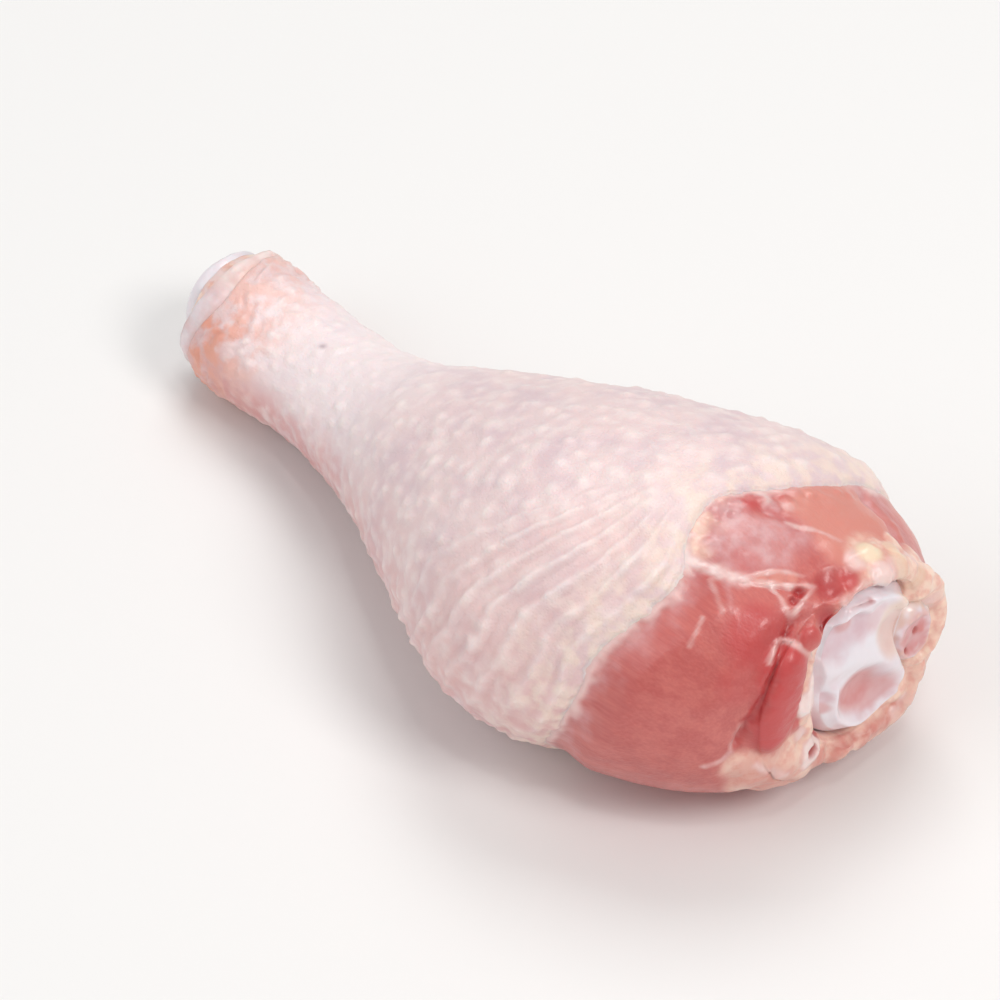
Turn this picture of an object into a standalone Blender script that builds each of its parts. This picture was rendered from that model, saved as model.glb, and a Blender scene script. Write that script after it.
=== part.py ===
"""A raw chicken drumstick lying on its side: a sleeve of skin, the flesh inside it, the shin bone that runs
through the flesh from hock to knee, and the kneecap.

Metres, +Z up. The bone runs along X, from the hock at -X to the knee at +X. The front of the leg faces +Y and
the calf faces -Y. The origin is on the surface that the drumstick lies on, under the middle of its box.
"""

import math
from collections import namedtuple

import bmesh
import bpy
import numpy as np

MM = 0.001

# Layers, from the outside in.
SKIN_THICKNESS = 1.2 * MM
CLEARANCE = 0.35 * MM  # between pieces that touch
FLESH_DEPTH = SKIN_THICKNESS + CLEARANCE

# The bone's centreline: it climbs from the slim hock to the thick knee.
HOCK_HEIGHT = 9.6 * MM
KNEE_HEIGHT = 22.9 * MM
KNEE_ALONG = 124.0 * MM

# Sections of the skin's outside, square to X, in millimetres: distance from the hock, how far the middle lies
# towards the front, half of the width from calf to front, and the heights of the underside and the top.
# An underside below 0 is pressed flat on the surface that the drumstick lies on.
Section = namedtuple("Section", "along middle half_width underside topside")
BODY = (
    Section(0.0, 0.2, 9.0, 1.0, 18.4),
    Section(3.0, 0.0, 10.4, -0.2, 19.8),
    Section(9.0, -0.9, 11.0, -0.7, 20.6),
    Section(17.0, -1.6, 10.4, 0.3, 19.8),
    Section(25.0, -2.3, 10.0, 1.3, 19.7),
    Section(33.0, -3.3, 10.6, 1.8, 21.0),
    Section(41.0, -4.4, 12.2, 1.8, 24.0),
    Section(50.0, -6.0, 15.2, 1.3, 28.8),
    Section(61.0, -7.6, 19.6, 0.5, 34.4),
    Section(73.0, -9.0, 24.2, -0.6, 39.6),
    Section(85.0, -9.2, 28.6, -1.3, 43.3),
    Section(96.0, -7.0, 30.2, -1.3, 44.7),
    Section(105.0, -4.6, 29.4, -0.8, 44.2),
    Section(112.0, -3.6, 27.2, 0.3, 42.3),
    Section(117.0, -3.2, 24.4, 1.9, 40.0),
    Section(121.0, -2.3, 21.3, 3.7, 38.4),
    Section(123.5, -1.0, 18.2, 5.8, 37.8),
)

# Edges of the skin: degrees round the leg, from the front (0) over the top, and millimetres from the hock.
# At the knee the calf side is cut back furthest. At the hock the cut slants over the top.
KNEE_EDGE = (
    (0, 110.0),
    (27, 111.0),
    (62, 110.8),
    (80, 108.0),
    (93, 104.8),
    (104, 105.6),
    (122, 109.3),
    (136, 108.4),
    (152, 106.0),
    (172, 104.9),
    (186, 103.0),
    (204, 99.4),
    (235, 97.0),
    (270, 99.5),
    (305, 104.0),
    (335, 108.0),
)
HOCK_EDGE = (
    (0, 4.4),
    (45, 5.2),
    (90, 6.6),
    (120, 7.6),
    (147, 4.8),
    (185, 2.6),
    (235, 2.2),
    (290, 2.6),
    (330, 3.6),
)

# Muscles round the knee end: the grooves between them, in degrees round the leg from the front (0) over the top.
MUSCLE_GROOVES = (48, 110, 226, 284, 345)
GROOVE_WIDTH = math.radians(7)
GROOVE_DEPTH = 1.3 * MM
MUSCLE_SWELL = 0.9 * MM
SWELL_STARTS_AFTER_EDGE = 1.5 * MM
SWELL_RUN = 7.0 * MM

FLESH_START = 3.0 * MM  # from the hock
FLESH_RING_BIAS = 1.25  # sets the rings closer together towards the knee

# The joint capsule: a fatty rim round the head of the bone.
CAPSULE_CENTRE = (-0.8 * MM, 22.3 * MM)  # to the front, up
CAPSULE_RIM = ((0.2, 15.9), (1.0, 15.5), (1.4, 14.4), (1.0, 13.2))  # beyond the last section, radius, in mm

# The shin bone: distance from the hock, half width (front to back), half height and waist, in millimetres.
# A waist pinches the section between the two knuckles that lie one above the other.
BoneSection = namedtuple("BoneSection", "along half_width half_height waist")
BONE = (
    BoneSection(1.6, 6.6, 7.0, 0.2),
    BoneSection(3.0, 7.3, 7.8, 0.18),
    BoneSection(6.0, 7.1, 7.5, 0.14),
    BoneSection(11.0, 4.9, 5.4, 0.06),
    BoneSection(18.0, 3.4, 3.8, 0.0),
    BoneSection(40.0, 3.1, 3.3, 0.0),
    BoneSection(80.0, 3.5, 3.6, 0.0),
    BoneSection(104.0, 4.5, 5.4, 0.0),
    BoneSection(114.0, 6.6, 8.9, 0.1),
    BoneSection(120.0, 9.0, 11.7, 0.22),
    BoneSection(124.6, 9.4, 12.4, 0.3),
    BoneSection(125.8, 8.6, 11.5, 0.32),
)
KNUCKLE_RISE = 1.5 * MM
KNUCKLE_SPACING = 0.5  # of the half height, from the middle to each knuckle
KNUCKLE_SADDLE = 0.35  # of the rise, halfway between the knuckles
KNUCKLE_CAP_SHARES = (0.86, 0.66, 0.42, 0.18)  # of the end section, ring by ring
CHANNEL_OVERRUN = 8.0 * MM  # of the bone's channel past each end of the bone

KNEECAP_PLACE = (124.4 * MM, 12.0 * MM, -1.8 * MM)  # along the bone, to the front, up from the bone
KNEECAP_HALF_SIZE = (2.1 * MM, 3.8 * MM, 4.8 * MM)

POINTS_AROUND = 44
SKIN_RINGS = 30
FLESH_RINGS = 30
BONE_POINTS_AROUND = 26
KNEECAP_SEGMENTS = 20
KNEECAP_RINGS = 12


def smooth_curve(knots, values, place):
    """The value at any place on a smooth curve through values at the knots."""
    slopes = np.gradient(values, knots)
    i = np.clip(np.searchsorted(knots, place) - 1, 0, len(knots) - 2)
    step = knots[i + 1] - knots[i]
    t = np.clip((place - knots[i]) / step, 0, 1)
    start = values[i] * (2 * t**3 - 3 * t**2 + 1) + slopes[i] * step * (t**3 - 2 * t**2 + t)
    end = values[i + 1] * (3 * t**2 - 2 * t**3) + slopes[i + 1] * step * (t**3 - t**2)
    return start + end


def through(sections, field, along):
    """A section's field, in metres, at any distance along the leg."""
    knots = np.array([s.along for s in sections]) * MM
    return smooth_curve(knots, np.array([getattr(s, field) for s in sections]) * MM, along)


def smooth_step(low, high, value):
    """0 below low, 1 above high, and a smooth rise between them."""
    t = np.clip((value - low) / (high - low), 0, 1)
    return t * t * (3 - 2 * t)


def bone_height(along):
    """Height of the bone's centreline."""
    return HOCK_HEIGHT + (KNEE_HEIGHT - HOCK_HEIGHT) * along / KNEE_ALONG


def body_points(along, angle, depth, swell=0.0):
    """Points at this depth under the skin's outside, given the distance along the leg and the angle round it."""
    middle = through(BODY, "middle", along)
    half_width = through(BODY, "half_width", along) - depth + swell
    underside = through(BODY, "underside", along) + depth - swell
    topside = through(BODY, "topside", along) - depth + swell
    y = middle + half_width * np.cos(angle)
    z = (topside + underside) / 2 + (topside - underside) / 2 * np.sin(angle)
    return np.stack([along, y, np.maximum(z, depth)], axis=-1)


def edge_distance(edge, angle):
    """Distance from the hock to an edge of the skin, by the angle round the leg."""
    turns = [(degrees + turn, along) for turn in (-360, 0, 360) for degrees, along in edge]
    knots, values = np.array(turns).T
    return smooth_curve(knots, values, np.degrees(angle)) * MM


def muscle_relief(along, angle):
    """How far the bare muscles stand out beyond the skin's edge, with grooves between them."""
    past_edge = along - edge_distance(KNEE_EDGE, angle)
    shown = smooth_step(SWELL_STARTS_AFTER_EDGE, SWELL_STARTS_AFTER_EDGE + SWELL_RUN, past_edge)
    relief = np.full_like(angle, MUSCLE_SWELL)
    for groove in MUSCLE_GROOVES:
        turn = (angle - math.radians(groove) + math.pi) % (2 * math.pi) - math.pi
        relief -= GROOVE_DEPTH * np.exp(-((turn / GROOVE_WIDTH) ** 2))
    return relief * shown


def loft(rings, closed_ends):
    """A mesh with quads between successive rings of points, and a face on each end ring if the ends are closed."""
    bm = bmesh.new()
    verts = [[bm.verts.new(point) for point in ring] for ring in rings]
    for near, far in zip(verts, verts[1:]):
        for i, corner in enumerate(near):
            j = (i + 1) % len(near)
            bm.faces.new((corner, far[i], far[j], near[j]))
    if closed_ends:
        bm.faces.new(verts[0])
        bm.faces.new(reversed(verts[-1]))
    bmesh.ops.recalc_face_normals(bm, faces=bm.faces)
    return finished_mesh(bm)


def finished_mesh(bm):
    """A smooth-shaded mesh from a bmesh, which it frees."""
    mesh = bpy.data.meshes.new("solid")
    bm.to_mesh(mesh)
    bm.free()
    mesh.shade_smooth()
    return mesh


def angles(count):
    """Equal steps once round the leg."""
    return np.arange(count) * 2 * math.pi / count


def make_material(name, colour, roughness):
    """A Principled material in one colour."""
    material = bpy.data.materials.new(name)
    material.use_nodes = True
    shader = material.node_tree.nodes["Principled BSDF"]
    shader.inputs["Base Color"].default_value = (*colour, 1.0)
    shader.inputs["Roughness"].default_value = roughness
    shader.inputs["Metallic"].default_value = 0.0
    return material


def add_piece(name, mesh, material, collection, parent):
    """A named object with one material, held by the parent."""
    piece = bpy.data.objects.new(name, mesh)
    mesh.materials.append(material)
    collection.objects.link(piece)
    piece.parent = parent
    return piece


def cut(piece, cutter):
    """Cuts the cutter's shape out of the piece."""
    modifier = piece.modifiers.new(f"cut_{cutter.name}", "BOOLEAN")
    modifier.operation = "DIFFERENCE"
    modifier.solver = "EXACT"
    modifier.object = cutter
    cutter.hide_render = True
    cutter.display_type = "WIRE"


def skin_mesh():
    """The inner side of the skin, open at the hock and at the knee."""
    around = angles(POINTS_AROUND)
    start = edge_distance(HOCK_EDGE, around)
    end = edge_distance(KNEE_EDGE, around)
    steps = np.linspace(0, 1, SKIN_RINGS)
    return loft([body_points(start + (end - start) * t, around, SKIN_THICKNESS) for t in steps], False)


def flesh_mesh():
    """The flesh, from just inside the hock's edge to the fatty rim of the knee joint."""
    around = angles(POINTS_AROUND)
    last = BODY[-1].along * MM
    share = np.linspace(0, 1, FLESH_RINGS)
    distances = FLESH_START + (last - FLESH_START) * np.sin(share * math.pi / 2) ** FLESH_RING_BIAS
    rings = []
    for distance in distances:
        along = np.full_like(around, distance)
        rings.append(body_points(along, around, FLESH_DEPTH, muscle_relief(along, around)))
    front, up = CAPSULE_CENTRE
    for beyond, radius in CAPSULE_RIM:
        y = front + radius * MM * np.cos(around)
        z = up + radius * MM * np.sin(around)
        rings.append(np.stack([np.full_like(around, last + beyond * MM), y, z], axis=-1))
    return loft(rings, True)


def bone_rings(extra):
    """Rings of the bone, made bigger all round by extra."""
    around = angles(BONE_POINTS_AROUND)
    rings = []
    for section in BONE:
        centre = bone_height(section.along * MM)
        pinch = 1 - section.waist * np.cos(around) ** 4
        y = (section.half_width * MM + extra) * np.cos(around) * pinch
        z = centre + (section.half_height * MM + extra) * np.sin(around)
        rings.append(np.stack([np.full_like(around, section.along * MM), y, z], axis=-1))
    return rings


def knuckle_cap(ring, outwards):
    """Rings that close an end of the bone with two round knuckles, one above the other."""
    centre = ring.mean(axis=0)
    half_height = np.ptp(ring[:, 2]) / 2
    caps = []
    for share in KNUCKLE_CAP_SHARES:
        points = centre + (ring - centre) * share
        level = (points[:, 2] - centre[2]) / half_height
        off_knuckle = (np.abs(level) - KNUCKLE_SPACING) / KNUCKLE_SPACING
        bump = KNUCKLE_SADDLE + (1 - KNUCKLE_SADDLE) * np.cos(off_knuckle * math.pi / 2) ** 2
        points[:, 0] += outwards * KNUCKLE_RISE * (1 - share**4) * bump
        caps.append(points)
    return caps


def bone_mesh():
    """The shin bone with its two knuckled ends."""
    rings = bone_rings(0.0)
    hock_cap = knuckle_cap(rings[0], -1)
    knee_cap = knuckle_cap(rings[-1], 1)
    return loft([*reversed(hock_cap), *rings, *knee_cap], True)


def bone_channel_mesh():
    """The shape that the bone's channel takes from the flesh, run past both of its ends."""
    rings = bone_rings(CLEARANCE)[:-1]
    before, after = rings[0].copy(), rings[-1].copy()
    before[:, 0] -= CHANNEL_OVERRUN
    after[:, 0] += CHANNEL_OVERRUN
    return loft([before, *rings, after], True)


def kneecap_mesh(extra):
    """A thick oval disc with a domed face, made bigger all round by extra."""
    bm = bmesh.new()
    bmesh.ops.create_uvsphere(bm, u_segments=KNEECAP_SEGMENTS, v_segments=KNEECAP_RINGS, radius=1.0)
    along, front, up = KNEECAP_PLACE
    half_along, half_wide, half_tall = (size + extra for size in KNEECAP_HALF_SIZE)
    for vert in bm.verts:
        wide, tall, out = vert.co
        y = front + wide * half_wide
        z = bone_height(along) + up + tall * half_tall
        vert.co = (along + out * half_along, y, z)
    return finished_mesh(bm)


def centre_on_floor(parent, pieces):
    """Moves the parent so that the middle of the pieces' box is over the origin, and its bottom is at zero."""
    bpy.context.view_layer.update()
    graph = bpy.context.evaluated_depsgraph_get()
    corners = np.array([corner for piece in pieces for corner in piece.evaluated_get(graph).bound_box])
    low, high = corners.min(axis=0), corners.max(axis=0)
    parent.location = (-(low[0] + high[0]) / 2, -(low[1] + high[1]) / 2, -low[2])


def build():
    """Clears the scene and builds the drumstick."""
    for old in list(bpy.data.objects):
        bpy.data.objects.remove(old)
    pieces = bpy.data.collections.new("drumstick")
    cutters = bpy.data.collections.new("cutters")
    for collection in (pieces, cutters):
        bpy.context.scene.collection.children.link(collection)
    leg = bpy.data.objects.new("leg", None)
    pieces.objects.link(leg)

    skin_finish = make_material("skin", (0.82, 0.66, 0.64), 0.4)
    flesh_finish = make_material("flesh", (0.58, 0.16, 0.14), 0.35)
    bone_finish = make_material("bone", (0.8, 0.7, 0.76), 0.25)
    kneecap_finish = make_material("kneecap", (0.78, 0.5, 0.45), 0.3)

    skin = add_piece("skin", skin_mesh(), skin_finish, pieces, leg)
    thickness = skin.modifiers.new("thickness", "SOLIDIFY")
    thickness.thickness = SKIN_THICKNESS
    thickness.offset = 1.0

    flesh = add_piece("flesh", flesh_mesh(), flesh_finish, pieces, leg)
    bone = add_piece("shin_bone", bone_mesh(), bone_finish, pieces, leg)
    kneecap = add_piece("kneecap", kneecap_mesh(0.0), kneecap_finish, pieces, leg)
    cut(flesh, add_piece("bone_channel", bone_channel_mesh(), bone_finish, cutters, leg))
    cut(flesh, add_piece("kneecap_socket", kneecap_mesh(CLEARANCE), kneecap_finish, cutters, leg))

    centre_on_floor(leg, (skin, flesh, bone, kneecap))


build()
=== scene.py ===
"""The looks of a raw chicken drumstick.

Bumpy skin, bare muscle with fat and fascia at the knee, and glossy gristle on the ends of the bone.
"""

import logging
import math
from dataclasses import dataclass, field
from enum import Enum

import bpy
import numpy as np
from mathutils import Matrix, Vector, kdtree, noise


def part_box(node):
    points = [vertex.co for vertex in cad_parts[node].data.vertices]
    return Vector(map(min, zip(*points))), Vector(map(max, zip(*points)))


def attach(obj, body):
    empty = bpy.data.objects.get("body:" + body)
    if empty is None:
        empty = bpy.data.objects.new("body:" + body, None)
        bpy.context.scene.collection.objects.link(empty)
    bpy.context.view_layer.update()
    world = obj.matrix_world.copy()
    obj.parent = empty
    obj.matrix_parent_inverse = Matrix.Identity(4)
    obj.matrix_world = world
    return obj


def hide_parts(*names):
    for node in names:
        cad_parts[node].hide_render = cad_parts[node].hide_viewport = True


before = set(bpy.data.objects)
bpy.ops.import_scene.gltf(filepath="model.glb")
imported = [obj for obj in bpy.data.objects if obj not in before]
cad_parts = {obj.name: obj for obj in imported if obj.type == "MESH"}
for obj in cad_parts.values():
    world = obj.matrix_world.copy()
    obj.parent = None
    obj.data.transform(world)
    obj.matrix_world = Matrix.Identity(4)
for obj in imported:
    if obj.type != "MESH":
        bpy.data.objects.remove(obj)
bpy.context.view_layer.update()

MM = 0.001
TURN = 2 * math.pi
LOG = logging.getLogger("drumstick")

Colour = tuple[float, float, float]
Place = tuple[float, float, float]
Pair = tuple[float, float]
Pairs = tuple[Pair, ...]


class Slot(Enum):
    """The record's material slots."""

    SKIN = "skin"
    FLESH = "flesh"
    BONE = "bone"
    KNEECAP = "kneecap"


class Tissue(Enum):
    """What a spot of the bare end is made of. Each one is a mask on the mesh."""

    MUSCLE = "muscle"
    RED_MUSCLE = "red_muscle"
    PALE_MUSCLE = "pale_muscle"
    FILM = "film"
    FAT = "fat"
    YELLOW_FAT = "yellow_fat"
    WHITE_FAT = "white_fat"
    BLOOD = "blood"
    GRISTLE = "gristle"
    PINK_GRISTLE = "pink_gristle"
    LILAC_GRISTLE = "lilac_gristle"


class Ground(Enum):
    """Where a feature of the bare end is set out."""

    BARREL = "barrel"  # by the distance from the hock and the angle round the leg
    FACE = "face"  # by the distances to the front and up, on an end face


# The tissues and grounds by their own names, for the lists of features.
(
    MUSCLE, RED_MUSCLE, PALE_MUSCLE, FILM, FAT, YELLOW_FAT,
    WHITE_FAT, BLOOD, GRISTLE, PINK_GRISTLE, LILAC_GRISTLE,
) = Tissue
BARREL, FACE = Ground


# --------------------------------------------------------------------------------------------------
# Numbers on curves and grids


def smooth_curve(knots: np.ndarray, values: np.ndarray, place: np.ndarray) -> np.ndarray:
    """Reads a smooth curve through values at the knots.

    Args:
        knots: where the values are, rising.
        values: the curve's value at each knot.
        place: where to read it.

    Returns:
        The curve's value at each place.
    """
    slopes = np.gradient(values, knots)
    i = np.clip(np.searchsorted(knots, place) - 1, 0, len(knots) - 2)
    step = knots[i + 1] - knots[i]
    t = np.clip((place - knots[i]) / step, 0, 1)
    start = values[i] * (2 * t**3 - 3 * t**2 + 1) + slopes[i] * step * (t**3 - 2 * t**2 + t)
    end = values[i + 1] * (3 * t**2 - 2 * t**3) + slopes[i + 1] * step * (t**3 - t**2)
    return start + end


def smooth_step(low: float, high: float, value: np.ndarray) -> np.ndarray:
    """Rises smoothly from 0 at low to 1 at high.

    Args:
        low: where the rise starts.
        high: where it ends, above low or below it.
        value: where to read it.

    Returns:
        The height of the rise, from 0 to 1.
    """
    t = np.clip((np.asarray(value) - low) / (high - low), 0, 1)
    return t * t * (3 - 2 * t)


def arc(degrees: np.ndarray, start: float, end: float, soft: float) -> np.ndarray:
    """Picks the part of a turn between two angles.

    Args:
        degrees: angles to test.
        start: where the part starts.
        end: where it ends, going up from the start.
        soft: how many degrees its borders take.

    Returns:
        1 inside the part and 0 outside.
    """
    middle, half = (start + end) / 2, (end - start) / 2
    off = np.abs((degrees - middle + 180) % 360 - 180)
    return 1 - smooth_step(half - soft / 2, half + soft / 2, off)


def rough(points: np.ndarray, size: float, seed: float, octaves: int = 2) -> np.ndarray:
    """Reads soft random noise at points.

    Args:
        points: places in millimetres, in an array whose last axis is x, y, z.
        size: the width of its lumps, in millimetres.
        seed: which noise to read.
        octaves: how many finer layers it has.

    Returns:
        Noise from about -1 to 1, one value for each point.
    """
    seed_spacing = 17.3
    flat = points.reshape(-1, 3) / size + seed * seed_spacing
    # Each finer layer is half as high and half as wide.
    values = [noise.fractal(p, 1.0, 2.0, octaves) for p in flat]
    return np.array(values).reshape(points.shape[:-1])


def grid_normals(points: np.ndarray) -> np.ndarray:
    """Finds the outward directions of a tube of points.

    Args:
        points: rings of points, in the order rings, angle, x-y-z.

    Returns:
        A unit vector for each point, pointing away from the tube's middle.
    """
    along = np.gradient(points, axis=0)
    around = np.roll(points, -1, axis=1) - np.roll(points, 1, axis=1)
    normals = np.cross(along, around)
    normals /= np.linalg.norm(normals, axis=-1, keepdims=True) + 1e-12
    outwards = points - points.mean(axis=1, keepdims=True)
    return normals * np.sign((outwards * normals).sum())


# --------------------------------------------------------------------------------------------------
# The form of the leg, in millimetres from the hock
#
# The solids have the same form, but with the skin longer at the hock.


@dataclass(frozen=True)
class Section:
    """A section of the skin's outside, square to the leg."""

    along: float
    middle: float
    half_width: float
    underside: float
    topside: float


@dataclass(frozen=True)
class BoneSection:
    """A section of the bone, with a waist between its upper and its lower knuckle."""

    along: float
    half_width: float
    half_height: float
    waist: float


@dataclass(frozen=True)
class LegForm:
    """The sizes that all pieces share."""

    skin_thickness: float = 1.2
    flesh_depth: float = 1.35
    hock_height: float = 9.6
    knee_height: float = 22.9
    knee_along: float = 124.0
    flesh_start: float = 3.0
    hock_flare: float = 0.14
    head_reach: Pair = (112.0, 123.0)
    head_corner: float = 0.2
    head_lower_corner: float = 0.25
    head_back: float = 0.18
    head_crown: float = 0.3
    body: tuple[Section, ...] = (
        Section(0.0, 0.2, 9.0, 1.0, 18.4),
        Section(3.0, 0.0, 10.4, -0.2, 19.8),
        Section(9.0, -0.9, 11.0, -0.7, 20.6),
        Section(17.0, -1.6, 10.4, 0.3, 19.8),
        Section(25.0, -2.3, 10.0, 1.3, 19.7),
        Section(33.0, -3.3, 10.6, 1.8, 21.0),
        Section(41.0, -4.4, 12.2, 1.8, 24.0),
        Section(50.0, -6.0, 15.2, 1.3, 28.8),
        Section(61.0, -7.6, 19.6, 0.5, 34.4),
        Section(73.0, -9.0, 24.2, -0.6, 39.6),
        Section(85.0, -9.2, 28.6, -1.3, 43.3),
        Section(96.0, -7.0, 30.2, -1.3, 44.7),
        Section(105.0, -4.6, 29.4, -0.8, 44.2),
        Section(112.0, -3.6, 27.2, 0.3, 42.3),
        Section(117.0, -3.2, 24.4, 1.9, 40.0),
        Section(121.0, -2.3, 21.3, 3.7, 38.4),
        Section(123.5, -1.0, 18.2, 5.8, 37.8),
    )
    bone: tuple[BoneSection, ...] = (
        BoneSection(1.6, 6.6, 7.0, 0.2),
        BoneSection(3.0, 7.3, 7.8, 0.18),
        BoneSection(6.0, 7.1, 7.5, 0.14),
        BoneSection(11.0, 4.9, 5.4, 0.06),
        BoneSection(18.0, 3.4, 3.8, 0.0),
        BoneSection(40.0, 3.1, 3.3, 0.0),
        BoneSection(80.0, 3.5, 3.6, 0.0),
        BoneSection(104.0, 4.5, 5.4, 0.0),
        BoneSection(114.0, 6.6, 8.9, 0.1),
        BoneSection(120.0, 9.0, 11.7, 0.22),
        BoneSection(124.6, 9.4, 12.4, 0.3),
        BoneSection(125.8, 8.6, 11.5, 0.32),
    )
    knee_edge: Pairs = (
        (0, 110.0), (27, 111.0), (62, 110.8), (80, 108.0), (93, 104.8), (104, 105.6), (122, 109.3),
        (136, 108.4), (152, 106.0), (172, 104.9), (186, 103.0), (204, 99.4), (235, 97.0), (270, 99.5),
        (305, 104.0), (335, 108.0),
    )
    hock_edge: Pairs = (
        (0, 5.0), (45, 6.2), (90, 8.2), (120, 9.2), (147, 7.8), (185, 5.6), (235, 4.4), (290, 3.6),
        (330, 4.2),
    )

    def origin(self) -> np.ndarray:
        """Finds where the hock end of the bone's line stands in the frame.

        Returns:
            The place, in metres.
        """
        flesh_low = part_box("flesh")[0]
        bone_low, bone_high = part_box("shin_bone")
        middle = (bone_low.y + bone_high.y) / 2
        return np.array([flesh_low.x - self.flesh_start * MM, middle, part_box("skin")[0].z])

    def read(self, sections: tuple, name: str, along: np.ndarray) -> np.ndarray:
        """Reads one size of the sections at any distance from the hock.

        Args:
            sections: the body's or the bone's sections.
            name: which size to read.
            along: distances from the hock.

        Returns:
            The size at each distance.
        """
        knots = np.array([s.along for s in sections])
        return smooth_curve(knots, np.array([getattr(s, name) for s in sections]), along)

    def surface(self, along: np.ndarray, angle: np.ndarray, depth: np.ndarray | float) -> np.ndarray:
        """Finds points under the skin's outside.

        Args:
            along: distances from the hock.
            angle: angles round the leg, from the front over the top.
            depth: how deep the points are; below zero they stand out.

        Returns:
            The points, none lower than their depth over the floor.
        """
        middle = self.read(self.body, "middle", along)
        half_width = self.read(self.body, "half_width", along) - depth
        under = self.read(self.body, "underside", along) + depth
        top = self.read(self.body, "topside", along) - depth
        y = middle + half_width * np.cos(angle)
        z = (top + under) / 2 + (top - under) / 2 * np.sin(angle)
        return np.stack([along + 0 * angle, y, np.maximum(z, depth)], axis=-1)

    def edge(self, table: Pairs, angle: np.ndarray) -> np.ndarray:
        """Reads one of the skin's edges.

        Args:
            table: the edge's places, in degrees and millimetres.
            angle: angles round the leg.

        Returns:
            The edge's distance from the hock at each angle.
        """
        turns = [(degrees + turn, along) for turn in (-360, 0, 360) for degrees, along in table]
        knots, values = np.array(turns, float).T
        return smooth_curve(knots, values, np.degrees(angle))

    def bone_line(self, along: np.ndarray) -> np.ndarray:
        """The height of the bone's centreline."""
        return self.hock_height + (self.knee_height - self.hock_height) * along / self.knee_along

    def bone_ring(self, along: float, angle: np.ndarray, extra: float = 0.0) -> np.ndarray:
        """Finds one ring of the bone's surface.

        Args:
            along: its distance from the hock.
            angle: angles round the bone.
            extra: how far outside the bone the ring runs.

        Returns:
            The ring's points.
        """
        place = np.array(along)
        pinch = 1 - self.read(self.bone, "waist", place) * np.cos(angle) ** 4
        y = (self.read(self.bone, "half_width", place) + extra) * np.cos(angle) * pinch
        z = self.bone_line(place) + (self.read(self.bone, "half_height", place) + extra) * np.sin(angle)
        return np.stack([np.full_like(angle, along), y, z], axis=-1)

    def head_ring(self, along: float, angle: np.ndarray, extra: float = 0.0) -> np.ndarray:
        """Finds one ring of the bone, whose head is fuller at the knee and flares at the hock.

        Args:
            along: its distance from the hock.
            angle: angles round the bone.
            extra: how far outside the bone the ring runs.

        Returns:
            The ring's points.
        """
        ring = self.bone_ring(along, angle, extra)
        head = float(smooth_step(*self.head_reach, along))
        corner = np.sin(2 * angle) ** 2 * (np.cos(angle) > 0)
        lower = 0.5 - 0.5 * np.sin(angle)
        back = np.cos(angle) ** 4 * (np.cos(angle) < 0)
        fuller = corner * (self.head_corner + self.head_lower_corner * lower) + self.head_back * back
        ring[..., 1] *= 1 + head * fuller
        ring[..., 2] += head * self.head_crown * np.clip(np.sin(angle), 0, 1)
        centre = np.array([along, 0.0, float(self.bone_line(np.array(along)))])
        return centre + (ring - centre) * (1 + self.hock_flare * float(smooth_step(3.4, 2.7, along)))


# --------------------------------------------------------------------------------------------------
# Shaders


class Signal:
    """A number that varies over a surface. Arithmetic on it adds Math nodes."""

    def __init__(self, graph: "ShaderGraph", socket: bpy.types.NodeSocket) -> None:
        """Wraps a socket.

        Args:
            graph: the shader that it belongs to.
            socket: the output to read.
        """
        self.graph = graph
        self.socket = socket

    def math(self, operation: str, *others: "Signal | float", swap: bool = False) -> "Signal":
        """Adds a Math node.

        Args:
            operation: the node's operation.
            others: its other operands.
            swap: whether this signal is the second operand.

        Returns:
            The node's result.
        """
        operands = [self, *others]
        if swap:
            operands.reverse()
        return self.graph.node("ShaderNodeMath", {"operation": operation}, dict(enumerate(operands)))

    def __add__(self, other: "Signal | float") -> "Signal":
        """This plus other."""
        return self.math("ADD", other)

    __radd__ = __add__

    def __mul__(self, other: "Signal | float") -> "Signal":
        """This times other."""
        return self.math("MULTIPLY", other)

    __rmul__ = __mul__

    def __sub__(self, other: "Signal | float") -> "Signal":
        """This minus other."""
        return self.math("SUBTRACT", other)

    def __rsub__(self, other: float) -> "Signal":
        """Other minus this."""
        return self.math("SUBTRACT", other, swap=True)

    def step(self, low: float, high: float) -> "Signal":
        """Rises smoothly from 0 where this is low to 1 where it is high.

        Args:
            low: where the rise starts.
            high: where it ends, above low.

        Returns:
            The rise, from 0 to 1.
        """
        values = {"Value": self, "From Min": low, "From Max": high}
        return self.graph.node("ShaderNodeMapRange", {"interpolation_type": "SMOOTHSTEP"}, values)


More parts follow.
